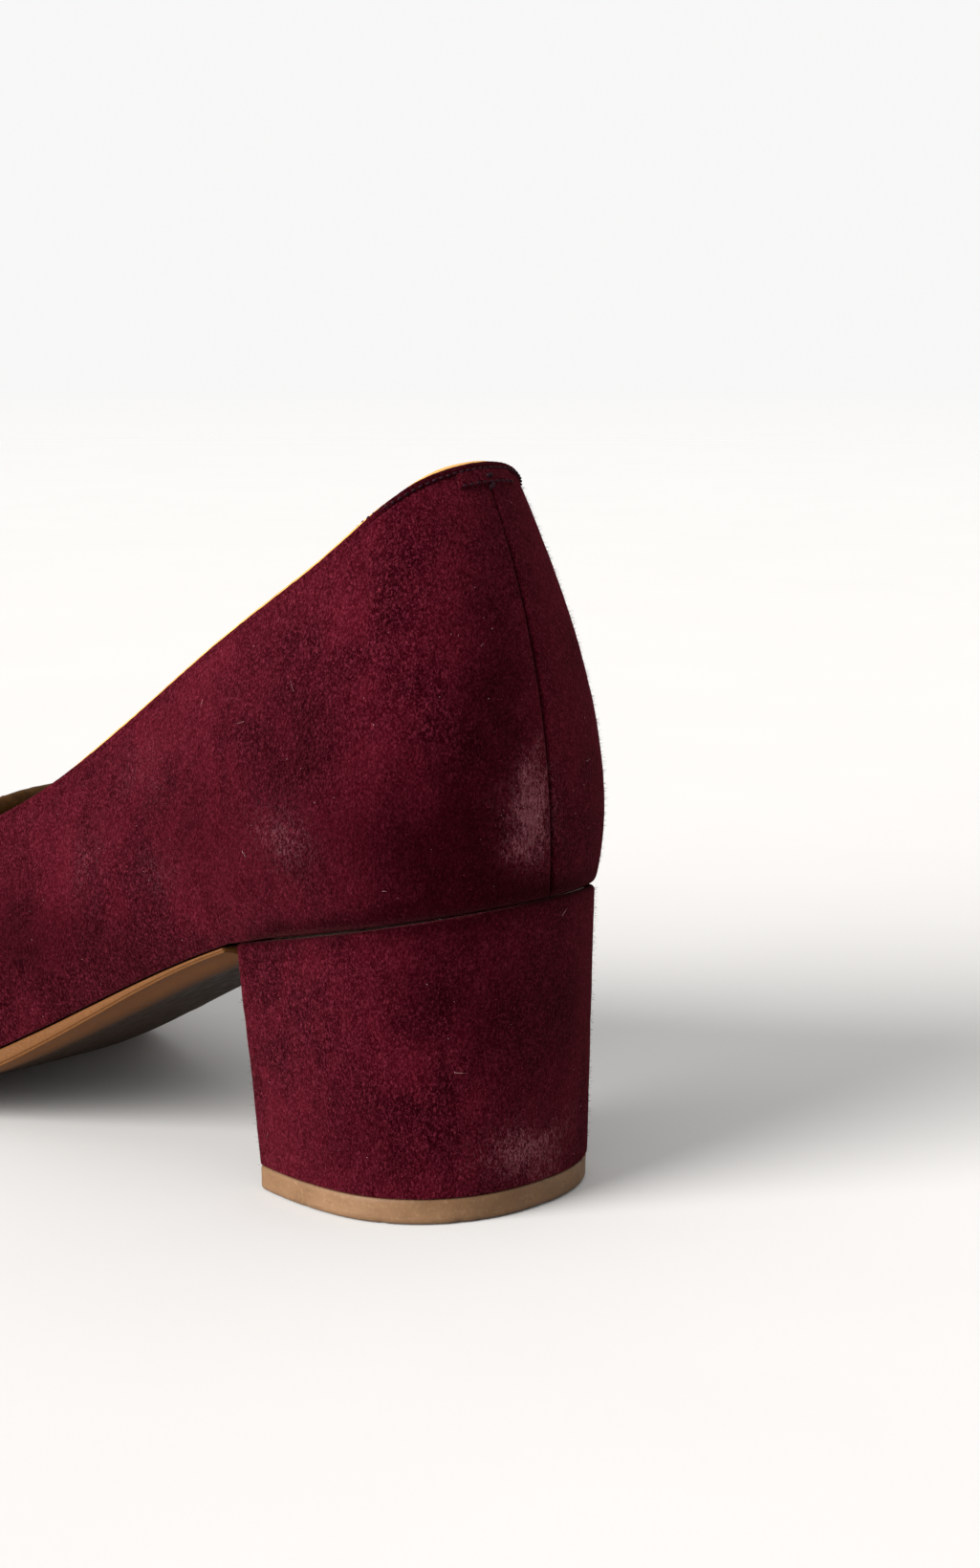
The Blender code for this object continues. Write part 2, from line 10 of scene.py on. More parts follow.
import bpy
import numpy as np
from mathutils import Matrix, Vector


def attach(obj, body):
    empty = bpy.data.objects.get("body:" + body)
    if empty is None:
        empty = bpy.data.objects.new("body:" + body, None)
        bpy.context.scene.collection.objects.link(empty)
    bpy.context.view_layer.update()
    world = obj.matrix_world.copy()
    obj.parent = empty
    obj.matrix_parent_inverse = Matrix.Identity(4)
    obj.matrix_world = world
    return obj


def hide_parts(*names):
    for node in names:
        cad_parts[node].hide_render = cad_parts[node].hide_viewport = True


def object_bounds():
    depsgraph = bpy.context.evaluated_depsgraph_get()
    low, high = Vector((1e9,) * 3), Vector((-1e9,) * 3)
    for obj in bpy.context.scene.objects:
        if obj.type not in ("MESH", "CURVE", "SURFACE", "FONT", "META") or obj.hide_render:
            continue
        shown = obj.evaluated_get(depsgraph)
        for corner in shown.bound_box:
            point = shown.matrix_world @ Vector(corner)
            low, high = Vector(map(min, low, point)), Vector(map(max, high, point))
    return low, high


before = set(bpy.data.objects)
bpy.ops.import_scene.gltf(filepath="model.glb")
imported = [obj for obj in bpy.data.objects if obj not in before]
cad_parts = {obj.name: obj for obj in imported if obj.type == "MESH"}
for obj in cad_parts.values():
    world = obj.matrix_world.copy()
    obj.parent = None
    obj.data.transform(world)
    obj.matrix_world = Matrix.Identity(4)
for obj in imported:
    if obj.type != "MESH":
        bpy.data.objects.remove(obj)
CAD_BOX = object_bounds()

MM = 0.001
DRAWING_SHIFT = (0.029, 109.07, 0.0)
BODY = "root"

# The camera stands behind the shoe and to its outer side, a little above it.
CAMERA_PLACE = (0.3433, 0.4114, 0.1452)
CAMERA_YAW, CAMERA_PITCH = -2.4035666, -0.1760784
CAMERA_LENS, SENSOR = 73.46, 36.0

# The window's light runs from the shoe's outer side; the floor fades out between two distances in m.
WINDOW_STRENGTH, WINDOW_SPREAD, WINDOW_COLOUR = 9.4, 0.7, (1.0, 0.99, 0.97)
WINDOW_TOWARDS = (-0.912, 0.227, -0.342)
ROOM_COLOUR = (0.935, 0.935, 0.930)
FLOOR_COLOURS = ((0.500, 0.490, 0.482), (0.524, 0.514, 0.506))
FLOOR_HALF, FLOOR_FADE = 4.0, (0.6, 2.2)

# Stations round the last: feather x, y; top edge x, y, z; bulge; how far it stands out below the edge.
LATERAL = (
    (0.0, 2.3, 0.0, -10.9, 108.9, 1.2, 11.0),
    (13.4, -1.2, 9.4, -12.9, 107.3, 2.0, 9.8),
    (21.3, -9.4, 15.2, -18.2, 102.4, 3.2, 8.0),
    (24.9, -20.0, 18.7, -27.8, 94.0, 4.0, 6.6),
    (26.0, -38.0, 20.7, -44.5, 82.6, 4.0, 5.6),
    (26.6, -58.0, 21.8, -62.0, 70.0, 3.6, 5.2),
    (28.8, -80.0, 23.3, -80.5, 57.1, 3.6, 5.0),
    (33.8, -105.0, 24.9, -99.0, 47.4, 3.8, 5.4),
    (37.6, -130.0, 27.2, -124.0, 38.2, 4.6, 6.4),
    (37.2, -157.0, 28.4, -152.0, 31.8, 5.2, 6.8),
    (30.6, -185.0, 24.2, -179.5, 28.8, 5.4, 6.8),
    (18.2, -208.5, 14.2, -199.0, 28.0, 5.2, 6.8),
    (-2.5, -219.5, -2.4, -205.5, 28.2, 5.0, 6.8),
)
MEDIAL = (
    LATERAL[0],
    (-13.4, -1.2, -9.1, -12.9, 107.3, 3.6, 9.4),
    (-21.3, -9.4, -14.7, -18.2, 102.6, 6.2, 7.6),
    (-24.7, -20.0, -18.3, -27.8, 95.6, 6.9, 6.4),
    (-24.6, -38.0, -20.4, -44.5, 86.6, 6.2, 5.8),
    (-22.8, -58.0, -21.2, -62.0, 75.4, 4.4, 5.4),
    (-22.8, -80.0, -22.0, -80.5, 61.8, 4.4, 5.2),
    (-28.2, -105.0, -23.8, -99.0, 49.6, 5.0, 5.4),
    (-35.6, -130.0, -26.6, -124.0, 38.8, 5.0, 6.4),
    (-38.0, -157.0, -28.8, -152.0, 32.2, 5.0, 6.8),
    (-34.2, -185.0, -26.4, -179.5, 28.9, 5.4, 6.8),
    (-23.0, -208.5, -18.8, -199.0, 28.0, 5.2, 6.8),
    LATERAL[-1],
)
TOE = 12.0
RING = np.array(LATERAL + MEDIAL[-2:0:-1])
WALL_RISE = (0.30, 0.35)
BREAST_Y = -38.6
SEAT_HEIGHT, SEAT_SLOPE = 38.4, 0.2127
ARCH = ((BREAST_Y, SEAT_HEIGHT), (-47.0, 34.9), (-58.0, 29.8), (-70.0, 23.7), (-81.0, 18.0),
        (-92.0, 12.6), (-106.0, 7.2), (-122.0, 3.9), (-140.0, 2.2), (-160.0, 3.6), (-182.0, 5.5),
        (-206.0, 8.8), (-234.0, 14.0))
TREAD_HEIGHT = 2.9
INNER_ARCH = ((BREAST_Y, 0.0), (-48.0, 2.6), (-60.0, 5.4), (-72.0, 6.2), (-84.0, 5.6), (-98.0, 4.0),
              (-114.0, 1.8), (-132.0, 0.0))
INNER_ARCH_REACH = 22.0
GAP = 0.3
OUTER, STIFFENER, LINING = 1.0, 1.0, 0.8
COUNTER_END, PUFF_END, STIFFENER_FADE = 4.7, 9.4, 1.0
THROAT, JOINT, APRON_END = 7.5, 8.42, 11.55
JOINT_GAP = 0.02
STRAP = (8.0, 8.92)
SLOT_HALF_LENGTH, SLOT_HALF_WIDTH = 9.0, 2.4
CROWN = ((7.0, 4.6), (7.5, 5.6), (8.0, 6.4), (8.5, 7.8), (9.0, 8.6), (10.0, 7.0), (11.0, 4.2),
         (11.6, 1.9), (12.0, 0.4))
CROWN_POWER = 2.2
SOLE_THICKNESS, SOLE_START, SOLE_INSET = 2.6, 4.13, 0.5
WAIST_EDGE = 0.55
FILLER_THICKNESS, INSOLE_THICKNESS, SOCK_THICKNESS, PAD_THICKNESS = 1.2, 2.0, 1.0, 2.0
PAD_INSET, INSOLE_CLEAR = 6.4, 1.0
TOP_PIECE_HEIGHT = 3.8
HEEL_POWER = 2.24
HEEL_FLOOR = {"back": 0.0, "half_width": 23.9, "arc": 21.7, "length": 37.2, "breast": 21.9}
HEEL_SEAT = {"back": 2.1, "half_width": 25.1, "arc": 27.8, "length": 40.4, "breast": 25.4}
BREAST_HOLLOW = 1.6
HEEL_COVER = 1.0
HEEL_POINTS = 250
HEEL_TALL = 38.0
HEEL_SEAM_DEEP, HEEL_SEAM_WIDE = 0.28, 0.35
BINDING_TALL, BINDING_WIDE = 1.2, 0.85
BAND_SQUARE = (0.7, 0.8)
LIP_PROUD, LIP_FALL = 0.42, 0.30
STITCH_PITCH, APRON_PITCH, APRON_TALL = 1.15, 4.2, 1.12
SOLE_LIFT = -0.08

# The sole's edge band: how far it stands out, and at which share of the edge's height.
BAND_PROFILE = ((-0.25, 0.02), (0.10, 0.04), (0.17, 0.20), (0.18, 0.50), (0.17, 0.80), (0.08, 0.98),
                (-0.25, 0.98))
# The top piece from above: how far it is drawn in from the heel's outline, and at which height.
TOP_PIECE_PROFILE = (
    (1.0, TOP_PIECE_HEIGHT), (0.32, TOP_PIECE_HEIGHT), (0.16, TOP_PIECE_HEIGHT - 0.10),
    (0.10, TOP_PIECE_HEIGHT - 0.35), (0.10, 2.9), (0.12, 2.2), (0.12, 1.5), (0.12, 0.9), (0.16, 0.45),
    (0.30, 0.18), (0.55, 0.04), (0.9, 0.0),
)

# Relief of the leathers: height and size in mm, and seed, of each set of waves.
SUEDE_WAVES = ((0.16, 21.0, 1), (0.05, 6.0, 2), (0.018, 1.9, 3), (0.022, 0.8, 4))
LEATHER_WAVES = ((0.05, 9.0, 5), (0.015, 1.6, 6))

# Rows of stitches: pitch, share of it under thread, the thread's radius and how far a stitch arches.
TOPLINE_ROW = (STITCH_PITCH, 0.72, 0.19, 0.10)
TAB_ROW = (STITCH_PITCH, 0.74, 0.19, 0.09)
LINING_ROW = (2.2, 0.70, 0.20, 0.10)
STRAP_ROW = (2.1, 0.72, 0.20, 0.10)
SOCK_ROW = (2.6, 0.68, 0.19, 0.10)

# How many fibres, specks and hairs lie on the suede, and the seed they are drawn with.
QUARTER_FIBRES, TOPLINE_FIBRES, HEEL_FIBRES = 13000, 2600, 5200
QUARTER_SPECKS, HEEL_SPECKS, HAIRS = 150, 60, 34
FIBRE_SEED = 7

# Where the suede is rubbed pale, and where it is painted darker as shade: a place in mm, its reach each way,
# and its strength.
RUBBED = (
    ((4.6, 2.0, 59.5), (5.2, 4.0, 7.6), 1.10),
    ((2.6, 2.0, 66.0), (2.2, 4.0, 4.5), 0.45),
    ((2.0, -1.0, 9.0), (9.0, 7.0, 4.8), 0.95),
    ((27.0, -26.5, 56.5), (5.0, 6.5, 5.5), 0.50),
    ((26.8, -52.0, 48.0), (5.0, 5.0, 4.0), 0.30),
    ((27.5, -69.0, 46.0), (5.0, 4.5, 6.0), 0.28),
    ((25.5, -58.0, 62.0), (5.0, 7.0, 5.0), 0.24),
)
# Painted shade: places on the suede darkened where the light falls off.
PAINTED_SHADE_PLACES = (
    ((8.0, 0.0, 80.0), (6.0, 8.0, 20.0), 0.80),
    ((15.0, -3.0, 62.0), (6.0, 7.0, 13.0), 0.62),
    ((10.0, 2.0, 50.0), (9.0, 7.0, 6.0), 0.55),
    ((24.0, -24.0, 72.0), (6.0, 8.0, 9.0), 0.35),
    ((30.0, -84.0, 34.0), (7.0, 12.0, 9.0), 0.55),
    ((-6.0, -2.0, 30.0), (9.0, 8.0, 14.0), 0.35),
    ((23.0, -10.0, 56.0), (10.0, 13.0, 13.0), 0.62),
    ((27.5, -40.0, 53.0), (7.0, 20.0, 10.0), 0.50),
    ((17.0, -4.0, 52.0), (8.0, 8.0, 10.0), 0.35),
    ((31.0, -66.0, 35.0), (7.0, 20.0, 8.0), 0.42),
    ((17.0, -6.0, 34.0), (8.0, 7.0, 9.0), 0.58),
    ((8.0, -1.0, 30.0), (7.0, 6.0, 10.0), 0.35),
    ((23.5, -15.0, 12.0), (5.0, 12.0, 9.0), 0.42),
    ((28.0, -30.0, 66.0), (6.0, 20.0, 9.0), 0.18),
)


# ---- the last, as in the CAD part ----

def ring_slopes(rows):
    """The slopes of the closed, evenly spaced cubic spline through the rows."""
    one = np.eye(len(rows))
    system = 4 * one + np.roll(one, 1, axis=1) + np.roll(one, -1, axis=1)
    return np.linalg.solve(system, 3 * (np.roll(rows, -1, axis=0) - np.roll(rows, 1, axis=0)))


RING_SLOPES = ring_slopes(RING)


def hermite(t, a, b, slope_a, slope_b):
    """A cubic from a to b with the given slopes, at shares t of the way."""
    square, cube = t * t, t * t * t
    return ((2 * cube - 3 * square + 1) * a + (cube - 2 * square + t) * slope_a
            + (3 * square - 2 * cube) * b + (cube - square) * slope_b)


def station(u):
    """The last's row of values at u, which runs round it from the heel's back by way of the outer side."""
    u = np.asarray(u, float)
    whole = np.floor(u)
    here = whole.astype(int) % len(RING)
    there = (here + 1) % len(RING)
    return hermite((u - whole)[..., None], RING[here], RING[there], RING_SLOPES[here], RING_SLOPES[there])


def curve_through(points, x):
    """The value at x of a smooth curve through (x, value) points."""
    xs, ys = np.array(sorted(points)).T
    slopes = np.gradient(ys, xs)
    i = np.clip(np.searchsorted(xs, x) - 1, 0, len(xs) - 2)
    run = xs[i + 1] - xs[i]
    t = np.clip((x - xs[i]) / run, 0, 1)
    return hermite(t, ys[i], ys[i + 1], slopes[i] * run, slopes[i + 1] * run)


def squared(wave, power):
    """A sine or cosine drawn towards a square wave, for outlines with soft corners."""
    return np.sign(wave) * np.abs(wave) ** power


def smooth(share):
    """An even step from 0 to 1 that starts and ends level."""
    share = np.clip(share, 0, 1)
    return share * share * (3 - 2 * share)


def feather_height(x, y):
    """The height of the feather surface, where the upper meets the sole, at a place in plan."""
    seat = SEAT_HEIGHT + SEAT_SLOPE * (y - BREAST_Y)
    arch = np.maximum(curve_through(ARCH, y), TREAD_HEIGHT)
    lift = curve_through(INNER_ARCH, y) * smooth(-x / INNER_ARCH_REACH)
    return np.where(y > BREAST_Y, seat, arch + lift)


def plan(u, inset=0.0):
    """The feather outline in plan at u, drawn in by the inset, with its outward direction."""
    step = 0.02
    along = station(u + step)[..., :2] - station(u - step)[..., :2]
    along /= np.linalg.norm(along, axis=-1, keepdims=True)
    outward = np.stack([-along[..., 1], along[..., 0]], axis=-1)
    return station(u)[..., :2] - np.asarray(inset)[..., None] * outward, outward


def wall(u, v):
    """The last's wall at u round it and v up it, from 0 at the feather to 1 at the top edge."""
    row = station(u)
    foot, outward = plan(u)
    outward = np.concatenate([outward, np.zeros_like(outward[..., :1])], axis=-1)
    low = np.concatenate([foot, feather_height(foot[..., 0], foot[..., 1])[..., None]], axis=-1)
    high = row[..., 2:5]
    tall = (high - low)[..., 2:3] * np.array([0.0, 0.0, 1.0])
    low_handle = low + WALL_RISE[0] * tall + outward * row[..., 5:6]
    high_handle = high - WALL_RISE[1] * tall + outward * row[..., 6:7]
    v = v[..., None]
    w = 1 - v
    return w ** 3 * low + 3 * w * w * v * low_handle + 3 * w * v * v * high_handle + v ** 3 * high


def lid(u, w):
    """The last's top over the forepart, at station u and a share w of the way across it."""
    outer, inner = station(u)[..., 2:5], station(2 * TOE - u)[..., 2:5]
    w = w[..., None]
    across = (1 - w) * outer + w * inner
    crown = curve_through(CROWN, u)[..., None] * (1 - np.abs(2 * w - 1) ** CROWN_POWER)
    return across + crown * np.array([0.0, 0.0, 1.0])


def normals_of(surface, a, b):
    """Unit normals of surface(a, b), pointing out of the last."""
    step = 0.004
    along_a = surface(a + step, b) - surface(a - step, b)
    along_b = surface(a, b + step) - surface(a, b - step)
    return unit(np.cross(along_b, along_a))


def unit(vectors):
    """The vectors at length one."""
    return vectors / np.maximum(np.linalg.norm(vectors, axis=-1, keepdims=True), 1e-9)


def span_of(surface, u):
    """How far it is in mm across a surface at u, from its first edge to its last."""
    return np.linalg.norm(surface(u, np.ones_like(u)) - surface(u, np.zeros_like(u)), axis=-1)


def layer_depth(u):
    """How deep under the last's surface the lining's outer face lies at u."""
    from_heel = np.minimum(np.abs(u), np.abs(2 * TOE - u))
    counter = 1 - np.clip((from_heel - COUNTER_END) / STIFFENER_FADE, 0, 1)
    puff = 1 - np.clip((PUFF_END - from_heel) / STIFFENER_FADE, 0, 1)
    return OUTER + GAP + np.clip(counter + puff, 0, 1) * (STIFFENER + GAP)


def insole_inset(u):
    """How far inside the feather outline the footbed ends at u."""
    return layer_depth(u) + LINING + INSOLE_CLEAR


def insole_top(y):
    """Where the pieces on the insole board start, over the feather surface."""
    return np.full_like(y, FILLER_THICKNESS + 3 * GAP + INSOLE_THICKNESS)


def sock_lift(y):
    """The sock's lower face over the feather surface: it climbs over the heel pad."""
    return insole_top(y) + (PAD_THICKNESS + GAP) * smooth((y + 62.0) / 14.0)


# ---- fine meshes ----

def lattice_noise(points, size, seed):
    """Smooth noise from -1 to 1 at points in mm, with features about size mm across."""
    cell = points / size
    base = np.floor(cell).astype(np.int64)
    part = cell - base
    part = part * part * (3 - 2 * part)
    total = np.zeros(points.shape[:-1])
    for corner in itertools.product((0, 1), repeat=3):
        key = (base + np.array(corner)) * np.array([73856093, 19349663, 83492791])
        mixed = (key[..., 0] ^ key[..., 1] ^ key[..., 2] ^ (seed * 2654435761)) & 0xffffffff
        mixed = ((mixed ^ (mixed >> 15)) * 2246822519) & 0xffffffff
        mixed = ((mixed ^ (mixed >> 13)) * 3266489917) & 0xffffffff
        weight = np.prod(np.where(corner, part, 1 - part), axis=-1)
        total += weight * ((mixed ^ (mixed >> 16)) / 0x7fffffff - 1)
    return total


def waves_at(waves, points):
    """How far a surface stands out at points in mm, from waves of a height and size with their seed."""
    return sum(high * lattice_noise(points, size, seed) for high, size, seed in waves)


def suede_relief(points):
    """Soft waves of the hide with tufts of nap."""
    return waves_at(SUEDE_WAVES, points)


def leather_relief(points):
    """The slight waves of smooth leather."""
    return waves_at(LEATHER_WAVES, points)


def quads_of(index, flip=False):
    """The four-sided faces between the points of a grid of vertex numbers."""
    corners = (index[:-1, :-1], index[:-1, 1:], index[1:, 1:], index[1:, :-1])
    faces = np.stack(corners, axis=-1).reshape(-1, 4)
    return faces[:, ::-1] if flip else faces


def placed(points):
    """Drawing points in mm as metres in the frame."""
    return (np.asarray(points, float) + DRAWING_SHIFT) * MM


def piece_of(name, points, faces, look, slot, replaces=(), attributes=()):
    """A shown piece from points in mm and its faces, riding on the shoe."""
    mesh = bpy.data.meshes.new(name)
    mesh.from_pydata(placed(points).tolist(), [], [list(face) for face in faces])
    mesh.shade_smooth()
    for label, values in attributes:
        layer = mesh.attributes.new(label, "FLOAT", "POINT")
        layer.data.foreach_set("value", np.asarray(values, float).ravel())
    mesh.materials.append(look)
    made = bpy.data.objects.new(name, mesh)
    bpy.context.scene.collection.objects.link(made)
    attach(made, BODY)
    if replaces:
        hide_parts(*replaces)
    return made


def sheet_solid(outer, inner, wrap=False):
    """The points and faces of a closed sheet between two grids; wrap joins the second direction's ends."""
    rows, columns = outer.shape[:2]
    top = np.arange(rows * columns).reshape(rows, columns)
    if wrap:
        top = np.concatenate([top, top[:, :1]], axis=1)
    under = top + rows * columns
    faces = [quads_of(top), quads_of(under, True)]
    faces += [quads_of(np.stack(ends)) for ends in ((under[0], top[0]), (top[-1], under[-1]))]
    if not wrap:
        sides = ((top[:, 0], under[:, 0]), (under[:, -1], top[:, -1]))
        faces += [quads_of(np.stack(side)) for side in sides]
    points = np.concatenate([outer.reshape(-1, 3), inner.reshape(-1, 3)])
    return points, np.concatenate(faces)


def lengths_along(points, axis):
    """The distance in mm of each grid point from the first one along an axis."""
    steps = np.linalg.norm(np.diff(points, axis=axis), axis=-1)
    pad = [(1, 0) if i == axis else (0, 0) for i in range(2)]
    return np.cumsum(np.pad(steps, pad), axis=axis)


def rounding(distance, radius):
    """How far a rounded edge of that radius drops at a distance from it."""
    radius = np.maximum(radius, 1e-6)
    short = np.clip(radius - distance, 0, radius)
    return radius - np.sqrt(radius ** 2 - short ** 2)


def edge_drop(points, radii):
    """How far a grid's surface drops towards its first row, last row, first column and last column."""
    down, across = lengths_along(points, 0), lengths_along(points, 1)
    drops = [rounding(down, radii[0]), rounding(down[-1:] - down, radii[1]),
             rounding(across, radii[2]), rounding(across[:, -1:] - across, radii[3])]
    return np.max(drops, axis=0)


def spread(length, step, edge=1.0):
    """Shares from 0 to 1 about step mm apart over a length, closer within edge mm of both ends."""
    near = edge * (1 - np.cos(np.linspace(0, math.pi / 2, 6)))
    body = np.linspace(edge, length - edge, max(int(length / step), 2))
    return np.concatenate([near[:-1], body, (length - near[:-1])[::-1]]) / length


def even_stations(u_from, u_to, step, surface=wall, other=0.5):
    """Stations about step mm apart from one to the other."""
    u = np.linspace(u_from, u_to, 600)
    along = lengths_along(surface(u, np.full_like(u, other))[:, None], 0)[:, 0]
    return np.interp(spread(along[-1], step) * along[-1], along, u)


def wall_grid(u_from, u_to, step, low=0.0, high=0.0):
    """A fine grid of (u, v) over the wall, leaving out low and high mm at its edges."""
    u = even_stations(u_from, u_to, step)
    tall = span_of(wall, u)
    u, share = np.meshgrid(u, spread(tall.max(), step), indexing="ij")
    tall = tall[:, None]
    return u, low / tall + share * (1 - (low + high) / tall)


def lid_grid(u_from, u_to, step, edge=0.0):
    """A fine grid of (u, w) over the lid, leaving out edge mm along both seams."""
    u = even_stations(u_from, u_to, step, lid)
    width = span_of(lid, u)
    u, share = np.meshgrid(u, spread(width.max(), step), indexing="ij")
    cut = np.minimum(edge / np.maximum(width, 1e-6), 0.3)[:, None]
    return u, cut + share * (1 - 2 * cut)


def wear_and_shade(places, points):
    """The strength at points in mm of places with ragged outlines, both worn places and places of painted
    shade.
    """
    total = np.zeros(points.shape[:-1])
    ragged = np.stack([1.9 * lattice_noise(points, 4.2, seed) + 0.9 * lattice_noise(points, 1.7, seed + 3)
                       for seed in (41, 42, 43)], axis=-1)
    for centre, reach, strength in places:
        away = np.linalg.norm((points + ragged - np.array(centre)) / np.array(reach), axis=-1)
        total += strength * np.exp(-away ** 2)
    return total


def skin(name, surface, a, b, depth, thickness, radii, relief, look, slot, replaces=(), feather_shade_and_dirt=0.0):
    """A closed layer of the last's surface with rounded edges, relief, its worn places and its places of
    painted shade marked.

    The last argument is how much painted shade, with some dirt, darkens the layer along its first column,
    where the upper meets the sole.
    """
    base, normal = surface(a, b), normals_of(surface, a, b)
    drop = np.minimum(edge_drop(base, radii), thickness * 0.94)
    calm = 1 - smooth(drop / 0.5)
    depth = (depth(a) if callable(depth) else depth) * np.ones_like(a)
    out = relief(base) * calm
    outer = base - normal * (depth + drop - out)[..., None]
    inner = base - normal * (depth + thickness)[..., None]
    points, faces = sheet_solid(outer, inner)
    # The darkening marks: places of painted shade, a band of painted shade with some dirt along the feather,
    # and painted shade where the rounded edges roll away.
    low = feather_shade_and_dirt * np.exp(-(lengths_along(base, 1) / 3.0) ** 2) * (1 + 0.6 * lattice_noise(base, 3.0, 45))
    twice = np.tile((wear_and_shade(PAINTED_SHADE_PLACES, base) + low + 0.5 * smooth(drop / 0.4)).ravel(), 2)
    return piece_of(name, points, faces, look, slot, replaces,
                    [("rub", np.tile(wear_and_shade(RUBBED, base).ravel(), 2)), ("shade_and_dirt", twice)])


# ---- materials ----

class Look:
    """A Principled material being wired: each method adds nodes and returns an output."""

    def __init__(self, name, **fixed):
        self.material = bpy.data.materials.new(name)
        self.material.use_nodes = True
        self.tree = self.material.node_tree
        self.shader = self.tree.nodes["Principled BSDF"]
        self.place = self.tree.nodes.new("ShaderNodeTexCoord").outputs["Object"]
        self.normal = None
        for socket, value in fixed.items():
            self.shader.inputs[socket.replace("_", " ")].default_value = value

    def put(self, kind, sockets, **settings):
        """Adds a node and wires or sets its sockets."""
        node = self.tree.nodes.new(kind)
        for key, value in settings.items():
            setattr(node, key, value)
        for key, value in sockets.items():
            if isinstance(value, bpy.types.NodeSocket):
                self.tree.links.new(value, node.inputs[key])
            else:
                node.inputs[key].default_value = value
        return node

    def spot(self, size, stretch=(1, 1, 1)):
        """Coordinates on which one unit is size mm, longer along a stretched axis."""
        scale = tuple(1 / (size * MM * s) for s in stretch)
        return self.put("ShaderNodeMapping", {"Vector": self.place, "Scale": scale}).outputs["Vector"]

    def noise(self, size, detail=3.0, roughness=0.5, stretch=(1, 1, 1), warp=0.0):
        """Cloudy noise from 0 to 1 with features about size mm across."""
        sockets = {"Vector": self.spot(size, stretch), "Scale": 1.0, "Detail": detail,
                   "Roughness": roughness, "Distortion": warp}
        return self.put("ShaderNodeTexNoise", sockets).outputs["Fac"]

    def cells(self, size):
        """The distance from the middles of scattered cells about size mm across."""
        sockets = {"Vector": self.spot(size), "Scale": 1.0}
        return self.put("ShaderNodeTexVoronoi", sockets).outputs["Distance"]

    def attribute(self, name):
        """A value marked on the piece's points."""
        return self.put("ShaderNodeAttribute", {}, attribute_name=name).outputs["Fac"]

    def fit(self, value, low, high, to_low=0.0, to_high=1.0):
        """A value carried from one span to another."""
        made = self.put("ShaderNodeMapRange", {"Value": value, "From Min": low, "From Max": high,
                                               "To Min": to_low, "To Max": to_high})
        return made.outputs["Result"]

    def math(self, kind, a, b):
        """Two values joined by an operation."""
        return self.put("ShaderNodeMath", {0: a, 1: b}, operation=kind).outputs["Value"]

    def mix(self, factor, a, b):
        """A colour from a to b by a factor."""
        made = self.put("ShaderNodeMix", {"Factor": factor}, data_type="RGBA")
        for key, value in ((6, a), (7, b)):
            if isinstance(value, bpy.types.NodeSocket):
                self.tree.links.new(value, made.inputs[key])
            else:
                made.inputs[key].default_value = (*value, 1.0)
        return made.outputs[2]

    def layer(self, tone, value, low, high, share, colour):
        """A colour laid over a tone, more of it as a value passes from low to high, up to a share."""
        return self.mix(self.fit(value, low, high, 0.0, share), tone, colour)

    def colour(self, output):
        """Wires the colour."""
        self.tree.links.new(output, self.shader.inputs["Base Color"])

    def roughness(self, noise, low, high):
        """Wires a roughness that follows a noise from low to high."""
        self.tree.links.new(self.fit(noise, 0.3, 0.7, low, high), self.shader.inputs["Roughness"])

    def bump(self, height, deep, strength=1.0):
        """Adds relief deep mm tall from a height that runs from 0 to 1."""
        sockets = {"Height": height, "Distance": deep * MM, "Strength": strength}
        if self.normal:
            sockets["Normal"] = self.normal
        self.normal = self.put("ShaderNodeBump", sockets).outputs["Normal"]
        self.tree.links.new(self.normal, self.shader.inputs["Normal"])


def shaded(colour, share):
    """A colour at a share of its strength."""
    return tuple(share * part for part in colour)


def suede_look(name, dark, mid, light, pale):
    """Napped suede: clouds where the nap was brushed, fine fibres, pale rubs, and painted shade with some
    dirt.
    """
    look = Look(name, Sheen_Weight=0.085, Sheen_Roughness=0.30, Sheen_Tint=(1.0, 0.26, 0.28, 1.0),
                Specular_IOR_Level=0.0)
    clouds = look.noise(24.0, 3.0, 0.5, warp=0.8)
    patches = look.noise(7.0, 3.0, 0.50, (1, 1, 1.7), 0.9)
    tufts = look.noise(1.1, 4.0, 0.70, (1, 1, 1.4), 0.6)
    fibres = look.noise(0.30, 3.0, 0.75, (1, 1, 1.6), 0.6)
    brushed = look.math("ADD", look.math("MULTIPLY", clouds, 0.62), look.math("MULTIPLY", patches, 0.38))
    tone = look.mix(look.fit(brushed, 0.42, 0.60), dark, mid)
    tone = look.layer(tone, tufts, 0.48, 0.78, 0.28, light)
    tone = look.layer(tone, fibres, 0.50, 0.70, 0.85, light)
    tone = look.layer(tone, fibres, 0.50, 0.30, 0.85, shaded(dark, 0.45))
    grain = look.fit(look.noise(0.34, 3.0, 0.75, (1, 1, 2.2), 1.2), 0.42, 0.60, 0.0, 0.95)
    rubbed = look.math("ADD", look.attribute("rub"), grain)
    tone = look.layer(tone, rubbed, 0.97, 1.85, 0.95, pale)
    # Painted shade, with some dirt, darkens the tone where the points are marked.
    tone = look.layer(tone, look.attribute("shade_and_dirt"), 0.0, 1.0, 0.8, shaded(dark, 0.35))
    look.colour(tone)
    look.roughness(fibres, 0.85, 1.0)
    look.bump(tufts, 0.30, 0.8)
    look.bump(fibres, 0.32, 1.0)
    return look.material


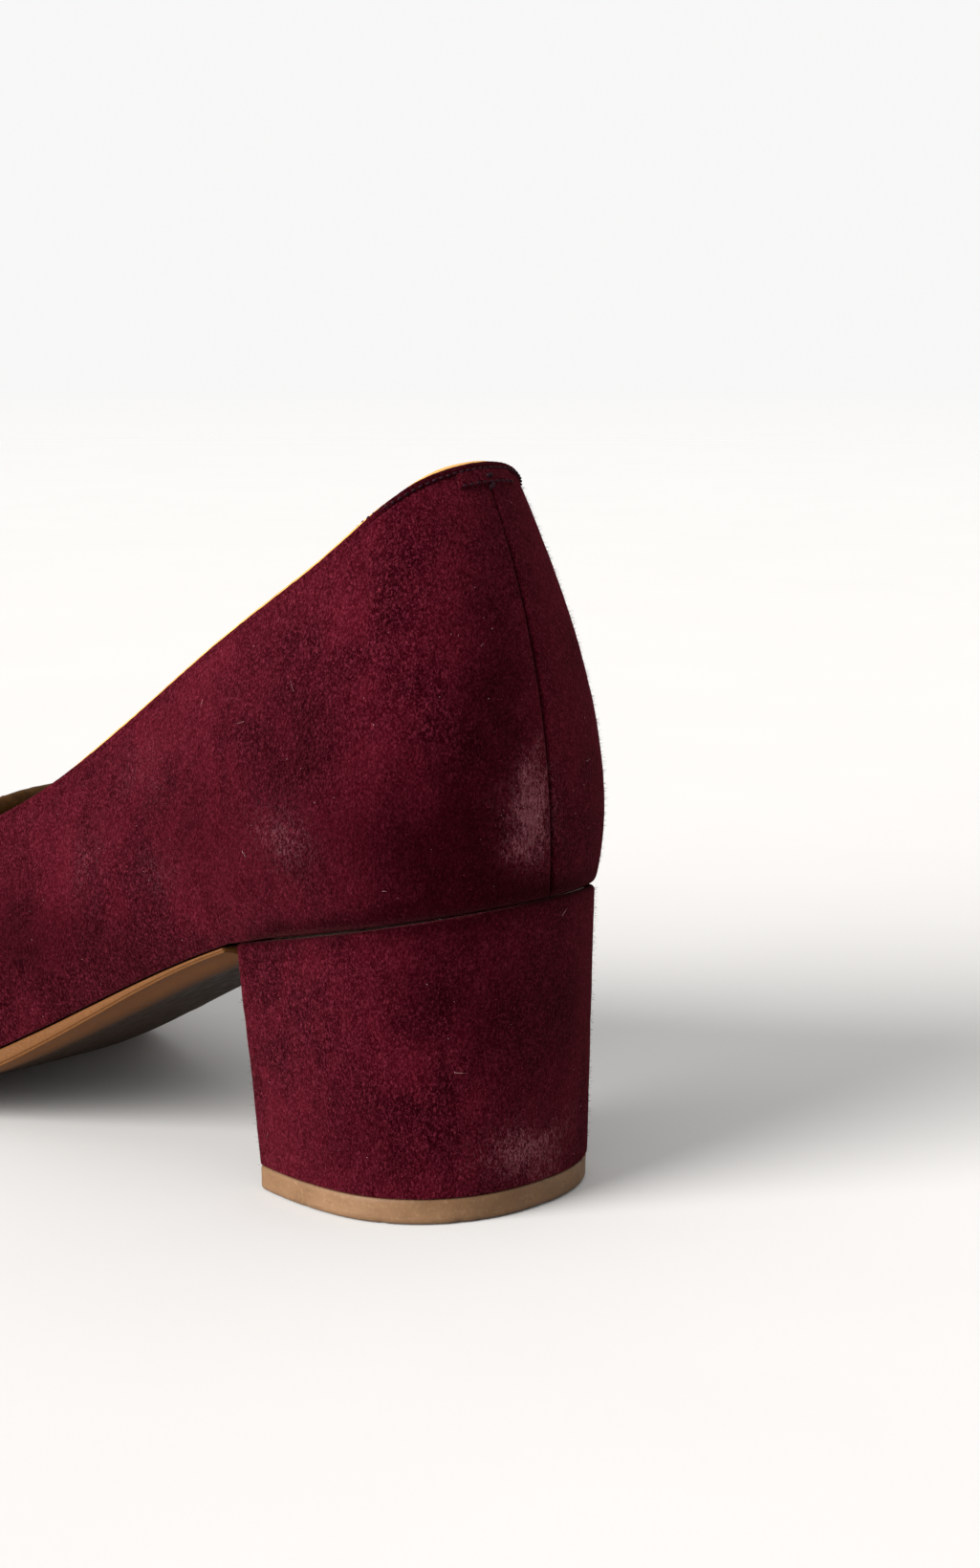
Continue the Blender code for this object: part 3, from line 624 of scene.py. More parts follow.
def leather_look(name, base, deep, glow, grain_size, rough=(0.42, 0.62), grain=0.06, gloss=0.3):
    """Smooth dyed leather: fine pores, creases and uneven dye, darkened where its pieces are marked with
    painted shade and some dirt.
    """
    look = Look(name, Specular_IOR_Level=gloss)
    tone = look.mix(look.fit(look.noise(14.0, 5.0, 0.6, warp=0.5), 0.35, 0.68), deep, base)
    tone = look.layer(tone, look.noise(3.2, 5.0, 0.65), 0.45, 0.75, 0.55, glow)
    pores = look.fit(look.cells(grain_size), 0.0, 0.45)
    tone = look.layer(tone, pores, 0.25, 0.0, 0.45, deep)
    look.colour(look.layer(tone, look.attribute("shade_and_dirt"), 0.0, 1.0, 0.8, shaded(deep, 0.25)))
    look.roughness(look.noise(5.0, 4.0), *rough)
    look.bump(look.noise(1.8, 4.0, 0.6, warp=0.6), 0.08, 0.5)
    look.bump(pores, grain, 0.7)
    return look.material


def sole_look():
    """The leather sole: a pale sanded edge, a waist and channel painted dark as shade, and a scuffed tread.
    """
    look = Look("sole_leather", Specular_IOR_Level=0.06)
    streaks = look.noise(1.2, 5.0, 0.6, (1, 9, 1), 0.3)
    tone = look.mix(look.fit(streaks, 0.3, 0.7), (0.110, 0.040, 0.011), (0.150, 0.060, 0.019))
    blotches = look.noise(11.0, 5.0, 0.6, warp=0.7)
    tone = look.layer(tone, blotches, 0.40, 0.72, 0.55, (0.110, 0.036, 0.011))
    edge = look.attribute("edge")
    ends = look.noise(0.5, 4.0, 0.6, (1, 1, 0.4))
    fibre = look.mix(look.fit(ends, 0.3, 0.7), (0.070, 0.027, 0.0085), (0.105, 0.044, 0.015))
    tone = look.mix(edge, tone, fibre)
    scratches = look.fit(look.noise(0.9, 3.0, 0.6, (1, 14, 1), 0.9), 0.60, 0.74)
    tone = look.mix(look.math("MULTIPLY", scratches, look.attribute("tread")), tone, (0.050, 0.028, 0.016))
    tone = look.layer(tone, look.attribute("tread"), 0.0, 1.0, 0.5, (0.25, 0.16, 0.095))
    look.colour(look.layer(tone, look.attribute("shade_and_dirt"), 0.0, 1.0, 0.93, (0.012, 0.007, 0.004)))
    look.roughness(streaks, 0.48, 0.72)
    look.bump(streaks, 0.06, 0.5)
    look.bump(look.noise(0.45, 4.0, 0.65), 0.06, 0.6)
    return look.material


def rubber_look():
    """The tan top piece: dull rubber with pale scuffs, floor dirt near its lower edge and painted shade
    along its top edge.
    """
    look = Look("top_piece_rubber", Specular_IOR_Level=0.2)
    patches = look.noise(7.0, 5.0, 0.6, (1, 1, 0.5), 0.4)
    tone = look.mix(look.fit(patches, 0.35, 0.68), (0.104, 0.053, 0.0235), (0.138, 0.073, 0.035))
    tone = look.layer(tone, look.noise(0.7, 3.0, 0.6), 0.55, 0.78, 0.5, (0.200, 0.118, 0.062))
    runs = look.noise(1.1, 4.0, 0.6, (2.5, 2.5, 0.35), 0.2)
    tone = look.layer(tone, runs, 0.58, 0.76, 0.4, (0.050, 0.025, 0.012))
    look.colour(look.layer(tone, look.attribute("shade_and_dirt"), 0.0, 1.0, 0.85, (0.035, 0.022, 0.014)))
    look.roughness(look.noise(2.5, 4.0), 0.48, 0.70)
    look.bump(look.noise(0.6, 4.0, 0.6), 0.05, 0.5)
    look.bump(look.noise(4.0, 2.0, 0.5, (1, 1, 0.4)), 0.10, 0.4)
    return look.material


def thread_look(name, base, glint):
    """Waxed thread: twisted plies with a slight gloss, and paler glints painted into its colour as
    highlights.
    """
    look = Look(name, Specular_IOR_Level=0.05)
    twist = look.noise(0.35, 2.0, 0.5, (1, 1, 0.35), 0.8)
    # The glint colour is a painted highlight along the twist.
    look.colour(look.mix(look.fit(twist, 0.45, 0.72), base, glint))
    look.roughness(twist, 0.38, 0.60)
    look.bump(twist, 0.06, 0.8)
    return look.material


def plain_look(name, low, high, size, rough, deep, metallic=0.0, stretch=(1, 1, 1)):
    """An inner piece's finish: two tones in fine noise, with its own relief and roughness."""
    look = Look(name, Metallic=metallic)
    grain = look.noise(size, 5.0, 0.6, stretch, 0.4)
    tone = look.mix(look.fit(grain, 0.32, 0.68), low, high)
    marks = look.fit(look.noise(size * 4.5, 3.0, 0.6, warp=0.6), 0.58, 0.75, 0.0, 0.5)
    look.colour(look.mix(marks, tone, shaded(low, 0.6)))
    look.roughness(grain, rough - 0.08, rough + 0.08)
    look.bump(grain, deep, 0.6)
    return look.material


def fibre_look(name, low, high, size, detail, span, rough, gloss):
    """Loose fibres and dust: matt, between two colours in noise read over a span."""
    look = Look(name, Specular_IOR_Level=gloss)
    look.colour(look.mix(look.fit(look.noise(size, detail), *span), low, high))
    look.roughness(look.noise(1.0), *rough)
    return look.material


SUEDE = suede_look("suede", (0.0130, 0.0005, 0.0018), (0.0400, 0.0021, 0.0055), (0.104, 0.0125, 0.0225),
                   (0.185, 0.062, 0.076))
LINING_LEATHER = leather_look("lining_leather", (0.300, 0.165, 0.062), (0.190, 0.092, 0.030),
                              (0.400, 0.240, 0.105), 0.45)
LIP_LEATHER = leather_look("lip_leather", (0.500, 0.262, 0.078), (0.380, 0.182, 0.048),
                           (0.600, 0.345, 0.120), 0.40, gloss=0.05)
ROLL_LEATHER = leather_look("roll_leather", (0.040, 0.016, 0.003), (0.018, 0.006, 0.001),
                            (0.090, 0.040, 0.008), 0.40, gloss=0.05)
SOCK_LEATHER = leather_look("sock_leather", (0.360, 0.205, 0.085), (0.250, 0.125, 0.046),
                            (0.460, 0.285, 0.130), 0.55)
SOLE_LEATHER = sole_look()
RUBBER = rubber_look()
DARK_THREAD = thread_look("dark_thread", (0.0050, 0.0006, 0.0018), (0.0340, 0.0085, 0.0160))
RED_THREAD = thread_look("red_thread", (0.040, 0.0035, 0.0075), (0.110, 0.020, 0.030))
TAN_THREAD = thread_look("tan_thread", (0.250, 0.140, 0.060), (0.460, 0.300, 0.150))
LINT = fibre_look("lint", (0.30, 0.13, 0.14), (0.62, 0.48, 0.44), 3.0, 2.0, (0.0, 1.0), (0.6, 0.9), 0.02)
NAP = fibre_look("nap_fibre", (0.030, 0.0015, 0.0045), (0.110, 0.014, 0.024), 1.1, 3.0, (0.3, 0.7),
                 (0.8, 1.0), 0.0)


INNER_LOOKS = {
    "heel_counter": ("fibreboard", (0.24, 0.16, 0.09), (0.40, 0.29, 0.18), 0.9, 0.85, 0.08, 0.0),
    "toe_puff": ("puff_fibreboard", (0.26, 0.18, 0.11), (0.42, 0.31, 0.20), 0.8, 0.85, 0.08, 0.0),
    "insole_board": ("insole_fibreboard", (0.28, 0.19, 0.11), (0.44, 0.32, 0.20), 1.1, 0.86, 0.10, 0.0),
    "forepart_filler": ("cork", (0.20, 0.10, 0.045), (0.46, 0.28, 0.15), 1.6, 0.90, 0.20, 0.0),
    "heel_block": ("heel_plastic", (0.56, 0.54, 0.48), (0.70, 0.68, 0.62), 3.5, 0.45, 0.03, 0.0),
    "steel": ("steel", (0.42, 0.42, 0.44), (0.62, 0.62, 0.63), 0.8, 0.34, 0.03, 1.0),
}
STEEL_NODES = ("shank", "shank_rivet_front", "shank_rivet_rear", "heel_screw", "heel_nail_1", "heel_nail_2",
               "heel_nail_3", "heel_nail_4", "top_piece_pin_inner", "top_piece_pin_outer")


def finish_inner_nodes():
    """Gives every CAD node that stays its own procedural finish."""
    looks = {}
    for key, (name, low, high, size, rough, deep, metallic) in INNER_LOOKS.items():
        stretch = (1, 6, 1) if key == "steel" else (1, 1, 1)
        looks[key] = plain_look(name, low, high, size, rough, deep, metallic, stretch)
    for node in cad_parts:
        look = looks.get("steel" if node in STEEL_NODES else node)
        if look:
            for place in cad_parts[node].material_slots:
                place.material = look


# ---- the upper ----

def seam_radius(v):
    """The back seam's edges roll in deeply at the counter and hardly at all at the topline."""
    return 0.34 + 0.40 * smooth((1.0 - v) / 0.45)


def over_heel(u):
    """1 for the grid's rows over the heel cover, where the upper rolls in deeply, 0 over the sole's edge."""
    from_heel = np.minimum(np.abs(u), np.abs(2 * TOE - u))
    return smooth((SOLE_START - 0.15 - from_heel) / 0.5)[:, :1]


def build_quarters():
    """The two suede quarters, rolled in along the back seam and under at the feather."""
    full, ends = 2 * TOE, 0.007
    for name, start, stop in (("quarter_outer", ends, JOINT), ("quarter_inner", full - JOINT, full - ends)):
        u, v = wall_grid(start, stop, 0.52)
        seam_first = start < TOE
        roll = seam_radius(v[0] if seam_first else v[-1])[None, :] * np.ones_like(v)
        # Over the heel the feather band gets more painted shade, where the upper rolls under.
        low, feather_shade_and_dirt = 0.45 + 1.15 * over_heel(u), 0.25 + 0.80 * over_heel(u)
        radii = (roll, 0.3, low, 0.25) if seam_first else (0.3, roll, low, 0.25)
        skin(name + "_suede", wall, u, v, 0.0, OUTER, radii, suede_relief, SUEDE, "suede", (name,), feather_shade_and_dirt)


def build_forepart():
    """The vamp round the toe, the apron over it and the tongue behind."""
    after, before = JOINT + JOINT_GAP, JOINT - JOINT_GAP
    # Each patch's last number is the painted shade, with some dirt, along its feather edge.
    patches = (("vamp", wall, wall_grid(after, 2 * TOE - after, 0.55), (0.3, 0.3, 0.45, 0.6), 0.25),
               ("apron", lid, lid_grid(after, APRON_END, 0.6, 0.4), (0.3, 0.3, 0.6, 0.6), 0.0),
               ("tongue", lid, lid_grid(THROAT, before, 0.6, 0.8), (0.5, 0.3, 0.5, 0.5), 0.0))
    for name, surface, grid, radii, feather_shade_and_dirt in patches:
        skin(name + "_suede", surface, *grid, 0.0, OUTER, radii, suede_relief, SUEDE, "suede", (name,),
             feather_shade_and_dirt)


def build_linings():
    """The leather linings under the quarters, vamp, apron and tongue."""
    after, before = JOINT + JOINT_GAP, JOINT - JOINT_GAP
    patches = (("quarter_lining", wall, wall_grid(-before, before, 0.9, 0.0, GAP), layer_depth),
               ("vamp_lining", wall, wall_grid(after, 2 * TOE - after, 1.0, 0.0, 1.6), layer_depth),
               ("apron_lining", lid, lid_grid(after, 11.3, 1.0, 3.0), OUTER + GAP),
               ("tongue_lining", lid, lid_grid(THROAT, before, 1.0, 2.6), OUTER + GAP))
    for name, surface, grid, depth in patches:
        skin(name + "_leather", surface, *grid, depth, LINING, (0.2, 0.2, 0.3, 0.3), leather_relief,
             LINING_LEATHER, "lining", (name,))


def swept(centres, sides, ups, section):
    """Rings of a section of (side, up) points carried along a path; section may vary along it."""
    section = np.broadcast_to(section, (len(centres),) + np.shape(section)[-2:])
    return centres[:, None] + sides[:, None] * section[..., :1] + ups[:, None] * section[..., 1:2]


def tube_solid(rings):
    """The points and faces of a tube through rings, capped at both ends."""
    count, around = rings.shape[:2]
    index = np.arange(count * around).reshape(count, around)
    index = np.concatenate([index, index[:, :1]], axis=1)
    faces = quads_of(index).tolist()
    faces += [index[0, :-1].tolist()[::-1], index[-1, :-1].tolist()]
    return rings.reshape(-1, 3), faces


def lumpy(rings, deep, size, seed):
    """Rings of a tube made uneven, deep mm at most, with lumps about size mm across."""
    away = unit(rings - rings.mean(axis=1, keepdims=True))
    return rings + away * (deep * lattice_noise(rings, size, seed))[..., None]


def topline(u, drop=0.0):
    """The topline's edge at u, with its outward and upward directions, drop mm down the wall from it."""
    v = 1 - np.asarray(drop) / span_of(wall, u)
    edge = wall(u, v)
    up = unit(wall(u, v) - wall(u, v - 0.02))
    return edge, normals_of(wall, u, np.minimum(v, 0.995)), up


def topline_band(u, outside, inside, low, high, lumps, lean=0.0):
    """Rings of a soft-cornered band standing on the topline between two distances out of and into the shoe.

    Lean is how much its top rises for each mm further in.
    """
    edge, out, up = topline(u)
    rings = []
    for turn in np.linspace(0, 2 * math.pi, 22, endpoint=False):
        side = inside + (outside - inside) * (squared(np.cos(turn), BAND_SQUARE[0]) + 1) / 2
        rise = low + (high - lean * side - low) * (squared(np.sin(turn), BAND_SQUARE[1]) + 1) / 2
        rings.append(edge + out * side[:, None] + up * np.reshape(rise, (-1, 1)))
    return lumpy(np.stack(rings, axis=1), lumps, 1.1, 9)


def back_share(u):
    """1 at the heel's back, where the binding's outer face shows its stitches, and 0 at the sides."""
    return 1 - smooth((np.abs(u) - 1.5) / 1.1)


def lip_lean(out, up):
    """How much the lip's top rises along the wall for each mm further in, to fall off evenly inwards."""
    return (out[:, 2] - LIP_FALL) / np.maximum(up[:, 2], 0.5)


def lip_height(u, up):
    """How high the lip stands at the topline's edge, lower beside the tongue."""
    proud = LIP_PROUD + 0.45 * np.sqrt(1 - back_share(u)) - 0.75 * smooth((np.abs(u) - 5.2) / 1.2)
    return BINDING_TALL + proud / np.maximum(up[:, 2], 0.5)


def build_binding():
    """The folded suede binding along the topline, pulled in by its stitches, and the lining's lip."""
    u = even_stations(-THROAT + 0.02, THROAT - 0.02, 0.45, wall, 1.0)
    along = lengths_along(topline(u)[0][:, None], 0)[:, 0]
    back = back_share(u)
    outside = 0.06 + 0.20 * back + 0.06 * back * np.cos(2 * math.pi * along / STITCH_PITCH)
    inside = np.full_like(u, -BINDING_WIDE)
    rings = topline_band(u, outside, inside, -0.25, BINDING_TALL, 0.05)
    points, faces = tube_solid(rings)
    edge, out, up = topline(u)
    share = np.sum((rings - edge[:, None]) * up[:, None], axis=-1) / BINDING_TALL
    # The binding is darker all over at the heel's back; at the sides its top is painted darker as shade
    # along the topline edge.
    shade_and_dirt = 0.85 * back[:, None] + 0.75 * (1 - back[:, None]) * smooth((share - 0.55) / 0.4)
    piece_of("topline_binding_suede", points, faces, SUEDE, "binding", ("topline_binding",),
             [("rub", np.zeros(len(points))), ("shade_and_dirt", shade_and_dirt)])
    deep = -(layer_depth(u) + LINING) - 0.02
    outside = inside + 0.25 + 0.45 * (1 - back)
    rings = topline_band(u, outside, deep, -0.35, lip_height(u, up), 0.03, lip_lean(out, up))
    points, faces = tube_solid(rings)
    piece_of("topline_lining_lip", points, faces, LIP_LEATHER, "lining", (),
             [("shade_and_dirt", np.zeros(len(points)))])


def stitch_solid(start, stop, out, radius, rise, sides=6, steps=5):
    """One stitch from start to stop, arched outwards, as rings of a closed capsule."""
    share = np.linspace(0, 1, steps + 2)
    arch = np.sin(math.pi * share)
    lift = rise * arch - radius * 0.7 * (1 - arch)
    middle = start + (stop - start) * share[:, None] + out * lift[:, None]
    along = unit(stop - start)
    across = unit(np.cross(along, out))
    girth = radius * (0.30 + 0.70 * arch ** 0.35)
    turn = np.linspace(0, 2 * math.pi, sides, endpoint=False)
    ring = np.cos(turn)[None, :, None] * across + np.sin(turn)[None, :, None] * out
    return tube_solid(middle[:, None] + ring * girth[:, None, None])


def joined(solids):
    """Several (points, faces) as one."""
    points, faces, count = [], [], 0
    for more, sides in solids:
        points.append(more)
        faces += [[i + count for i in face] for face in sides]
        count += len(more)
    return np.concatenate(points), faces


def row_at(along, rows, place):
    """The row at a place, for rows that lie at the given distances along."""
    return np.array([np.interp(place, along, column) for column in rows.T])


def stitch_row(name, path, out, row, look, slot):
    """A row of stitches along a path of points, facing out."""
    pitch, share, radius, rise = row
    along = lengths_along(path[:, None], 0)[:, 0]
    count = max(int(along[-1] / pitch), 1)
    solids = []
    for i in range(count):
        at = (i + np.array([0.5 - share / 2, 0.5, 0.5 + share / 2])) / count * along[-1]
        start, stop = (row_at(along, path, end) for end in at[[0, 2]])
        facing = unit(row_at(along, out, at[1]))
        solids.append(stitch_solid(start, stop, facing, radius, rise))
    return piece_of(name, *joined(solids), look, slot)


def build_topline_stitches():
    """The stitch row along the binding, on its outer face at the heel and on its top at the sides."""
    u = np.linspace(-THROAT + 0.1, THROAT - 0.1, 900)
    edge, out, up = topline(u)
    back = back_share(u)
    turn = math.pi / 2 - (math.pi / 2 + 0.45) * back
    middle, centre = BINDING_TALL / 2 - 0.12, -BINDING_WIDE / 2 - 0.55 * (1 - back)
    top = np.where(back < 0.5, lip_height(u, up) - lip_lean(out, up) * centre - 0.27, BINDING_TALL - 0.04)
    half = BINDING_TALL / 2 + 0.08 + (top - BINDING_TALL + 0.04) * (1 - back) ** 2
    side = centre + (BINDING_WIDE / 2 + 0.20 + 0.12 * back) * squared(np.cos(turn), BAND_SQUARE[0])
    rise = middle + half * squared(np.sin(turn), BAND_SQUARE[1])
    row = edge + out * side[:, None] + up * rise[:, None]
    facing = unit(out * np.cos(turn)[:, None] + up * np.sin(turn)[:, None])
    stitch_row("topline_stitches", row, facing, TOPLINE_ROW, DARK_THREAD, "binding")
    edge, out, up = topline(u, 1.1)
    inside = edge - out * (layer_depth(u) + LINING)[:, None]
    stitch_row("lining_topline_stitches", inside, -out, LINING_ROW, TAN_THREAD, "lining")


def build_back_tab():
    """The small folded tab over the back seam's top, with its stitch row and the knots of its tack."""
    reach, tall = 0.56, 2.35
    u = even_stations(-reach, reach, 0.35, wall, 0.97)
    share = spread(tall, 0.3, 0.5)
    grid_u, grid_d = np.meshgrid(u, tall * (1 - share) - 0.3, indexing="ij")
    v = 1 - np.maximum(grid_d, 0.0) / span_of(wall, u)[:, None]
    skin("back_tab_suede", wall, grid_u, v, -0.42, 0.40, (0.3, 0.3, 0.3, 0.05), suede_relief, SUEDE, "suede")
    line = np.linspace(-reach + 0.03, reach - 0.03, 60)
    edge, out, _ = topline(line, tall - 0.55)
    stitch_row("back_tab_stitches", edge + out * 0.44, out, TAB_ROW, DARK_THREAD, "binding")
    knots = []
    for drop, side in ((0.95, -0.030), (1.0, 0.030), (2.25, -0.008), (2.5, 0.045)):
        place = np.array([side, side])
        edge, out, _ = topline(place, np.array([drop - 0.35, drop + 0.40]))
        edge = edge + out * 0.44
        knots.append(stitch_solid(edge[0], edge[1], out[0], 0.30, 0.06))
    piece_of("back_seam_tack", *joined(knots), DARK_THREAD, "binding")


def build_tongue_edge():
    """The brown leather roll that finishes the tongue's rear edge."""
    w = np.linspace(0.02, 0.98, 110)
    u = np.full_like(w, THROAT)
    edge = lid(u, w)
    out = normals_of(lid, u, w)
    back = unit(lid(u - 0.05, w) - edge)
    turn = np.linspace(0, 2 * math.pi, 16, endpoint=False)
    tall = (OUTER + GAP + LINING) / 2 + 0.75
    section = np.stack([1.30 * np.cos(turn) + 0.1, tall * np.sin(turn) - tall + 1.65], axis=-1)
    rings = lumpy(swept(edge, back, out, section), 0.05, 1.4, 12)
    points, faces = tube_solid(rings[:, ::-1])
    piece_of("tongue_edge_roll", points, faces, ROLL_LEATHER, "lining", (),
             [("shade_and_dirt", np.zeros(len(points)))])


def strap_path(step):
    """The strap's surface as one grid, over the outer wall, the lid and the inner wall, with its normals."""
    u = even_stations(*STRAP, step, wall, 0.7)
    foot, seam = 1.0, 1.0
    pieces, facing = [], []
    tall, width = span_of(wall, u), span_of(lid, u)
    rise = np.linspace(0, 1, int(tall.mean() / step))
    grid_u, share = np.meshgrid(u, rise, indexing="ij")
    v = foot / tall[:, None] + share * (1 - (foot + seam) / tall[:, None])
    over_u, over = np.meshgrid(u, np.linspace(0, 1, int(width.mean() / step)), indexing="ij")
    cut = (seam / width)[:, None]
    w = cut + over * (1 - 2 * cut)
    for surface, a, b in ((wall, grid_u, v), (lid, over_u, w), (wall, 2 * TOE - grid_u, v[:, ::-1])):
        pieces.append(surface(a, b))
        facing.append(normals_of(surface, a, b))
    return np.concatenate(pieces, axis=1), np.concatenate(facing, axis=1)


def build_strap():
    """The saddle strap with rounded edges, edge stitching and the lens-shaped coin slot."""
    base, normal = strap_path(0.55)
    for _ in range(6):
        base[:, 1:-1] = (base[:, :-2] + 2 * base[:, 1:-1] + base[:, 2:]) / 4
        normal[:, 1:-1] = unit(normal[:, :-2] + 2 * normal[:, 1:-1] + normal[:, 2:])
    clear, thick = 0.35, 1.2
    drop = np.minimum(edge_drop(base, (0.5, 0.5, 0.4, 0.4)), thick * 0.9)
    outer = base + normal * (clear + thick - drop + suede_relief(base) * 0.6)[..., None]
    inner = base + normal * clear
    points, faces = sheet_solid(outer, inner)
    worn = np.tile(wear_and_shade(RUBBED, base).ravel(), 2)
    # Painted shade where the strap's rounded edges roll away.
    shade_and_dirt = np.tile((0.4 * smooth(drop / 0.4)).ravel(), 2)
    strap = piece_of("saddle_strap_suede", points, faces, SUEDE, "suede", ("saddle_strap",),
                     [("rub", worn), ("shade_and_dirt", shade_and_dirt)])
    cut_coin_slot(strap)
    for name, row in (("strap_rear_stitches", 4), ("strap_front_stitches", -5)):
        out = normal[row, 3:-3]
        line = outer[row, 3:-3] + out * 0.02
        stitch_row(name, line, out, STRAP_ROW, RED_THREAD, "suede")


def slot_block():
    """A block over and under the strap's middle in the coin slot's outline, a lens with slim ends."""
    centre = lid(np.array(sum(STRAP) / 2), np.array(0.5))
    turn = np.linspace(0, 2 * math.pi, 64, endpoint=False)
    x = SLOT_HALF_LENGTH * np.cos(turn)
    y = SLOT_HALF_WIDTH * np.sin(turn) * (1 - 0.35 * np.cos(turn) ** 2)
    rings = [centre + np.stack([x, y, np.full_like(x, lift)], axis=-1) for lift in (-7.0, 7.0)]
    return tube_solid(np.stack(rings))


def cut_coin_slot(strap):
    """Cuts the coin slot through the strap and applies the cut."""
    points, faces = slot_block()
    mesh = bpy.data.meshes.new("slot_cutter")
    mesh.from_pydata(placed(points).tolist(), [], faces)
    cutter = bpy.data.objects.new("slot_cutter", mesh)
    bpy.context.scene.collection.objects.link(cutter)
    trim = strap.modifiers.new("Slot", "BOOLEAN")
    trim.operation, trim.solver, trim.object = "DIFFERENCE", "EXACT", cutter
    bpy.context.view_layer.update()
    graph = bpy.context.evaluated_depsgraph_get()
    cut = bpy.data.meshes.new_from_object(strap.evaluated_get(graph))
    strap.modifiers.clear()
    strap.data = cut
    bpy.data.objects.remove(cutter)


def build_apron_seam():
    """The raised moccasin seam: a roll pinched by hand stitches, from one end of the strap round the toe."""
    start = STRAP[1] + 0.12
    u = even_stations(start, 2 * TOE - start, 0.4, wall, 1.0)
    edge = wall(u, np.ones_like(u))
    lean = unit(normals_of(wall, u, np.full_like(u, 0.98)) + np.array([0.0, 0.0, 1.0]))
    along = lengths_along(edge[:, None], 0)[:, 0]
    count = round(along[-1] / APRON_PITCH)
    phase = along / along[-1] * count
    path = unit(np.gradient(edge, axis=0))
    cross = unit(np.cross(path, lean))
    pinch = np.abs(np.cos(math.pi * phase))
    puff = 1.30 - 0.34 * pinch ** 6 + 0.05 * lattice_noise(edge, 2.0, 14)
    turn = np.linspace(0, 2 * math.pi, 20, endpoint=False)
    section = np.stack([np.cos(turn) * puff[:, None], np.sin(turn) * (puff * APRON_TALL)[:, None]], axis=-1)
    centre = edge + lean * 1.25
    points, faces = tube_solid(lumpy(swept(centre, cross, lean, section), 0.05, 0.9, 15))
    # Painted shade in the creases where the stitches pinch the roll.
    marks = np.repeat(0.5 * pinch ** 10, len(turn))
    piece_of("apron_seam_roll", points, faces, SUEDE, "suede", ("apron_seam",),
             [("rub", np.zeros(len(points))), ("shade_and_dirt", marks)])
    loops = []
    for i in range(1, count):
        k = int(np.argmin(np.abs(phase - i)))
        loops.append(apron_stitch(centre[k], cross[k], lean[k], path[k], puff[k] + 0.10))
    piece_of("apron_seam_stitches", *joined(loops), RED_THREAD, "suede")


def apron_stitch(centre, cross, lean, path, radius, girth=0.22):
    """One thread looped over the apron's roll, slanting a little along it."""
    arc = np.linspace(-0.25 * math.pi, 1.25 * math.pi, 13)[:, None]
    over = cross * np.cos(arc) * radius + lean * np.sin(arc) * radius * APRON_TALL
    spine = centre + over + path * 0.5 * np.sin(arc + 0.6)
    outward = unit(spine - centre)[:, None]
    turn = np.linspace(0, 2 * math.pi, 7, endpoint=False)[:, None]
    return tube_solid(spine[:, None] + outward * girth * np.cos(turn) + path * girth * np.sin(turn))


# ---- the bottom ----

def plate_points(u, w, inset, lift):
    """Points across the bottom of the last, at a height over the feather surface along its normal."""
    outer, inner = plan(u, inset)[0], plan(2 * TOE - u, inset)[0]
    flat = outer + (inner - outer) * w[..., None]
    x, y, step = flat[..., 0], flat[..., 1], 0.5
    slope_x = (feather_height(x + step, y) - feather_height(x - step, y)) / (2 * step)
    slope_y = (feather_height(x, y + step) - feather_height(x, y - step)) / (2 * step)
    up = unit(np.stack([-slope_x, -slope_y, np.ones_like(x)], axis=-1))
    rise = np.broadcast_to(lift(y) if callable(lift) else lift, y.shape)
    return np.stack([x, y, feather_height(x, y)], axis=-1) + up * rise[..., None], up


def plate_grid(u_from, u_to, step):
    """A fine grid of (u, w) over the bottom of the last."""
    u = even_stations(u_from, u_to, step, wall, 0.0)
    width = np.linalg.norm(plan(u)[0] - plan(2 * TOE - u)[0], axis=-1).max()
    return np.meshgrid(u, spread(width, step), indexing="ij")


def from_sides(points):
    """The distance in mm of each grid point from the nearer side."""
    side = lengths_along(points, 1)
    return np.minimum(side, side[:, -1:] - side)


def build_outsole():
    """The leather outsole: full at the tread and bevelled thin at the waist, with its edge band."""
    u, w = plate_grid(SOLE_START, TOE, 0.7)
    top, up = plate_points(u, w, SOLE_INSET, SOLE_LIFT)
    inward = from_sides(top)
    y = top[..., 1]
    edge_thick = WAIST_EDGE + (SOLE_THICKNESS - WAIST_EDGE) * smooth((BREAST_Y - 2.0 - y) / 62.0)
    bevel = smooth(inward / (7.0 - 4.5 * smooth((-y - 95.0) / 20.0)))
    thick = edge_thick + (SOLE_THICKNESS - edge_thick) * bevel + GAP + SOLE_LIFT
    sharp = np.minimum(rounding(inward, 0.35), thick * 0.5)
    channel = 0.18 * np.exp(-((inward - 3.4) / 0.35) ** 2) * smooth((-y - 96.0) / 14.0)
    under = top - up * (thick - sharp - channel - leather_relief(top) * 0.5)[..., None]
    points, faces = sheet_solid(top, under)
    tread = smooth((-y - 118.0) / 20.0) * smooth(inward / 5.0) * (0.75 + 0.25 * lattice_noise(top, 14.0, 21))
    near = np.exp(-(inward / 0.5) ** 2)
    # Painted shade: the middle of the waist is painted near black, and the channel groove darker.
    waist_shade = 1.05 * smooth((inward - 2.5) / 7.5) * smooth((y + 122.0) / 26.0)
    zero = np.zeros(top[..., 0].size)
    piece_of("outsole_leather", points, faces, SOLE_LEATHER, "sole_leather", ("outsole",),
             [("edge", np.concatenate([zero + 0.9, near.ravel() * 0.85])),
              ("tread", np.concatenate([zero, tread.ravel()])),
              ("shade_and_dirt", np.concatenate([zero, (2.2 * channel + waist_shade).ravel()]))])
    build_edge_band(top, under)


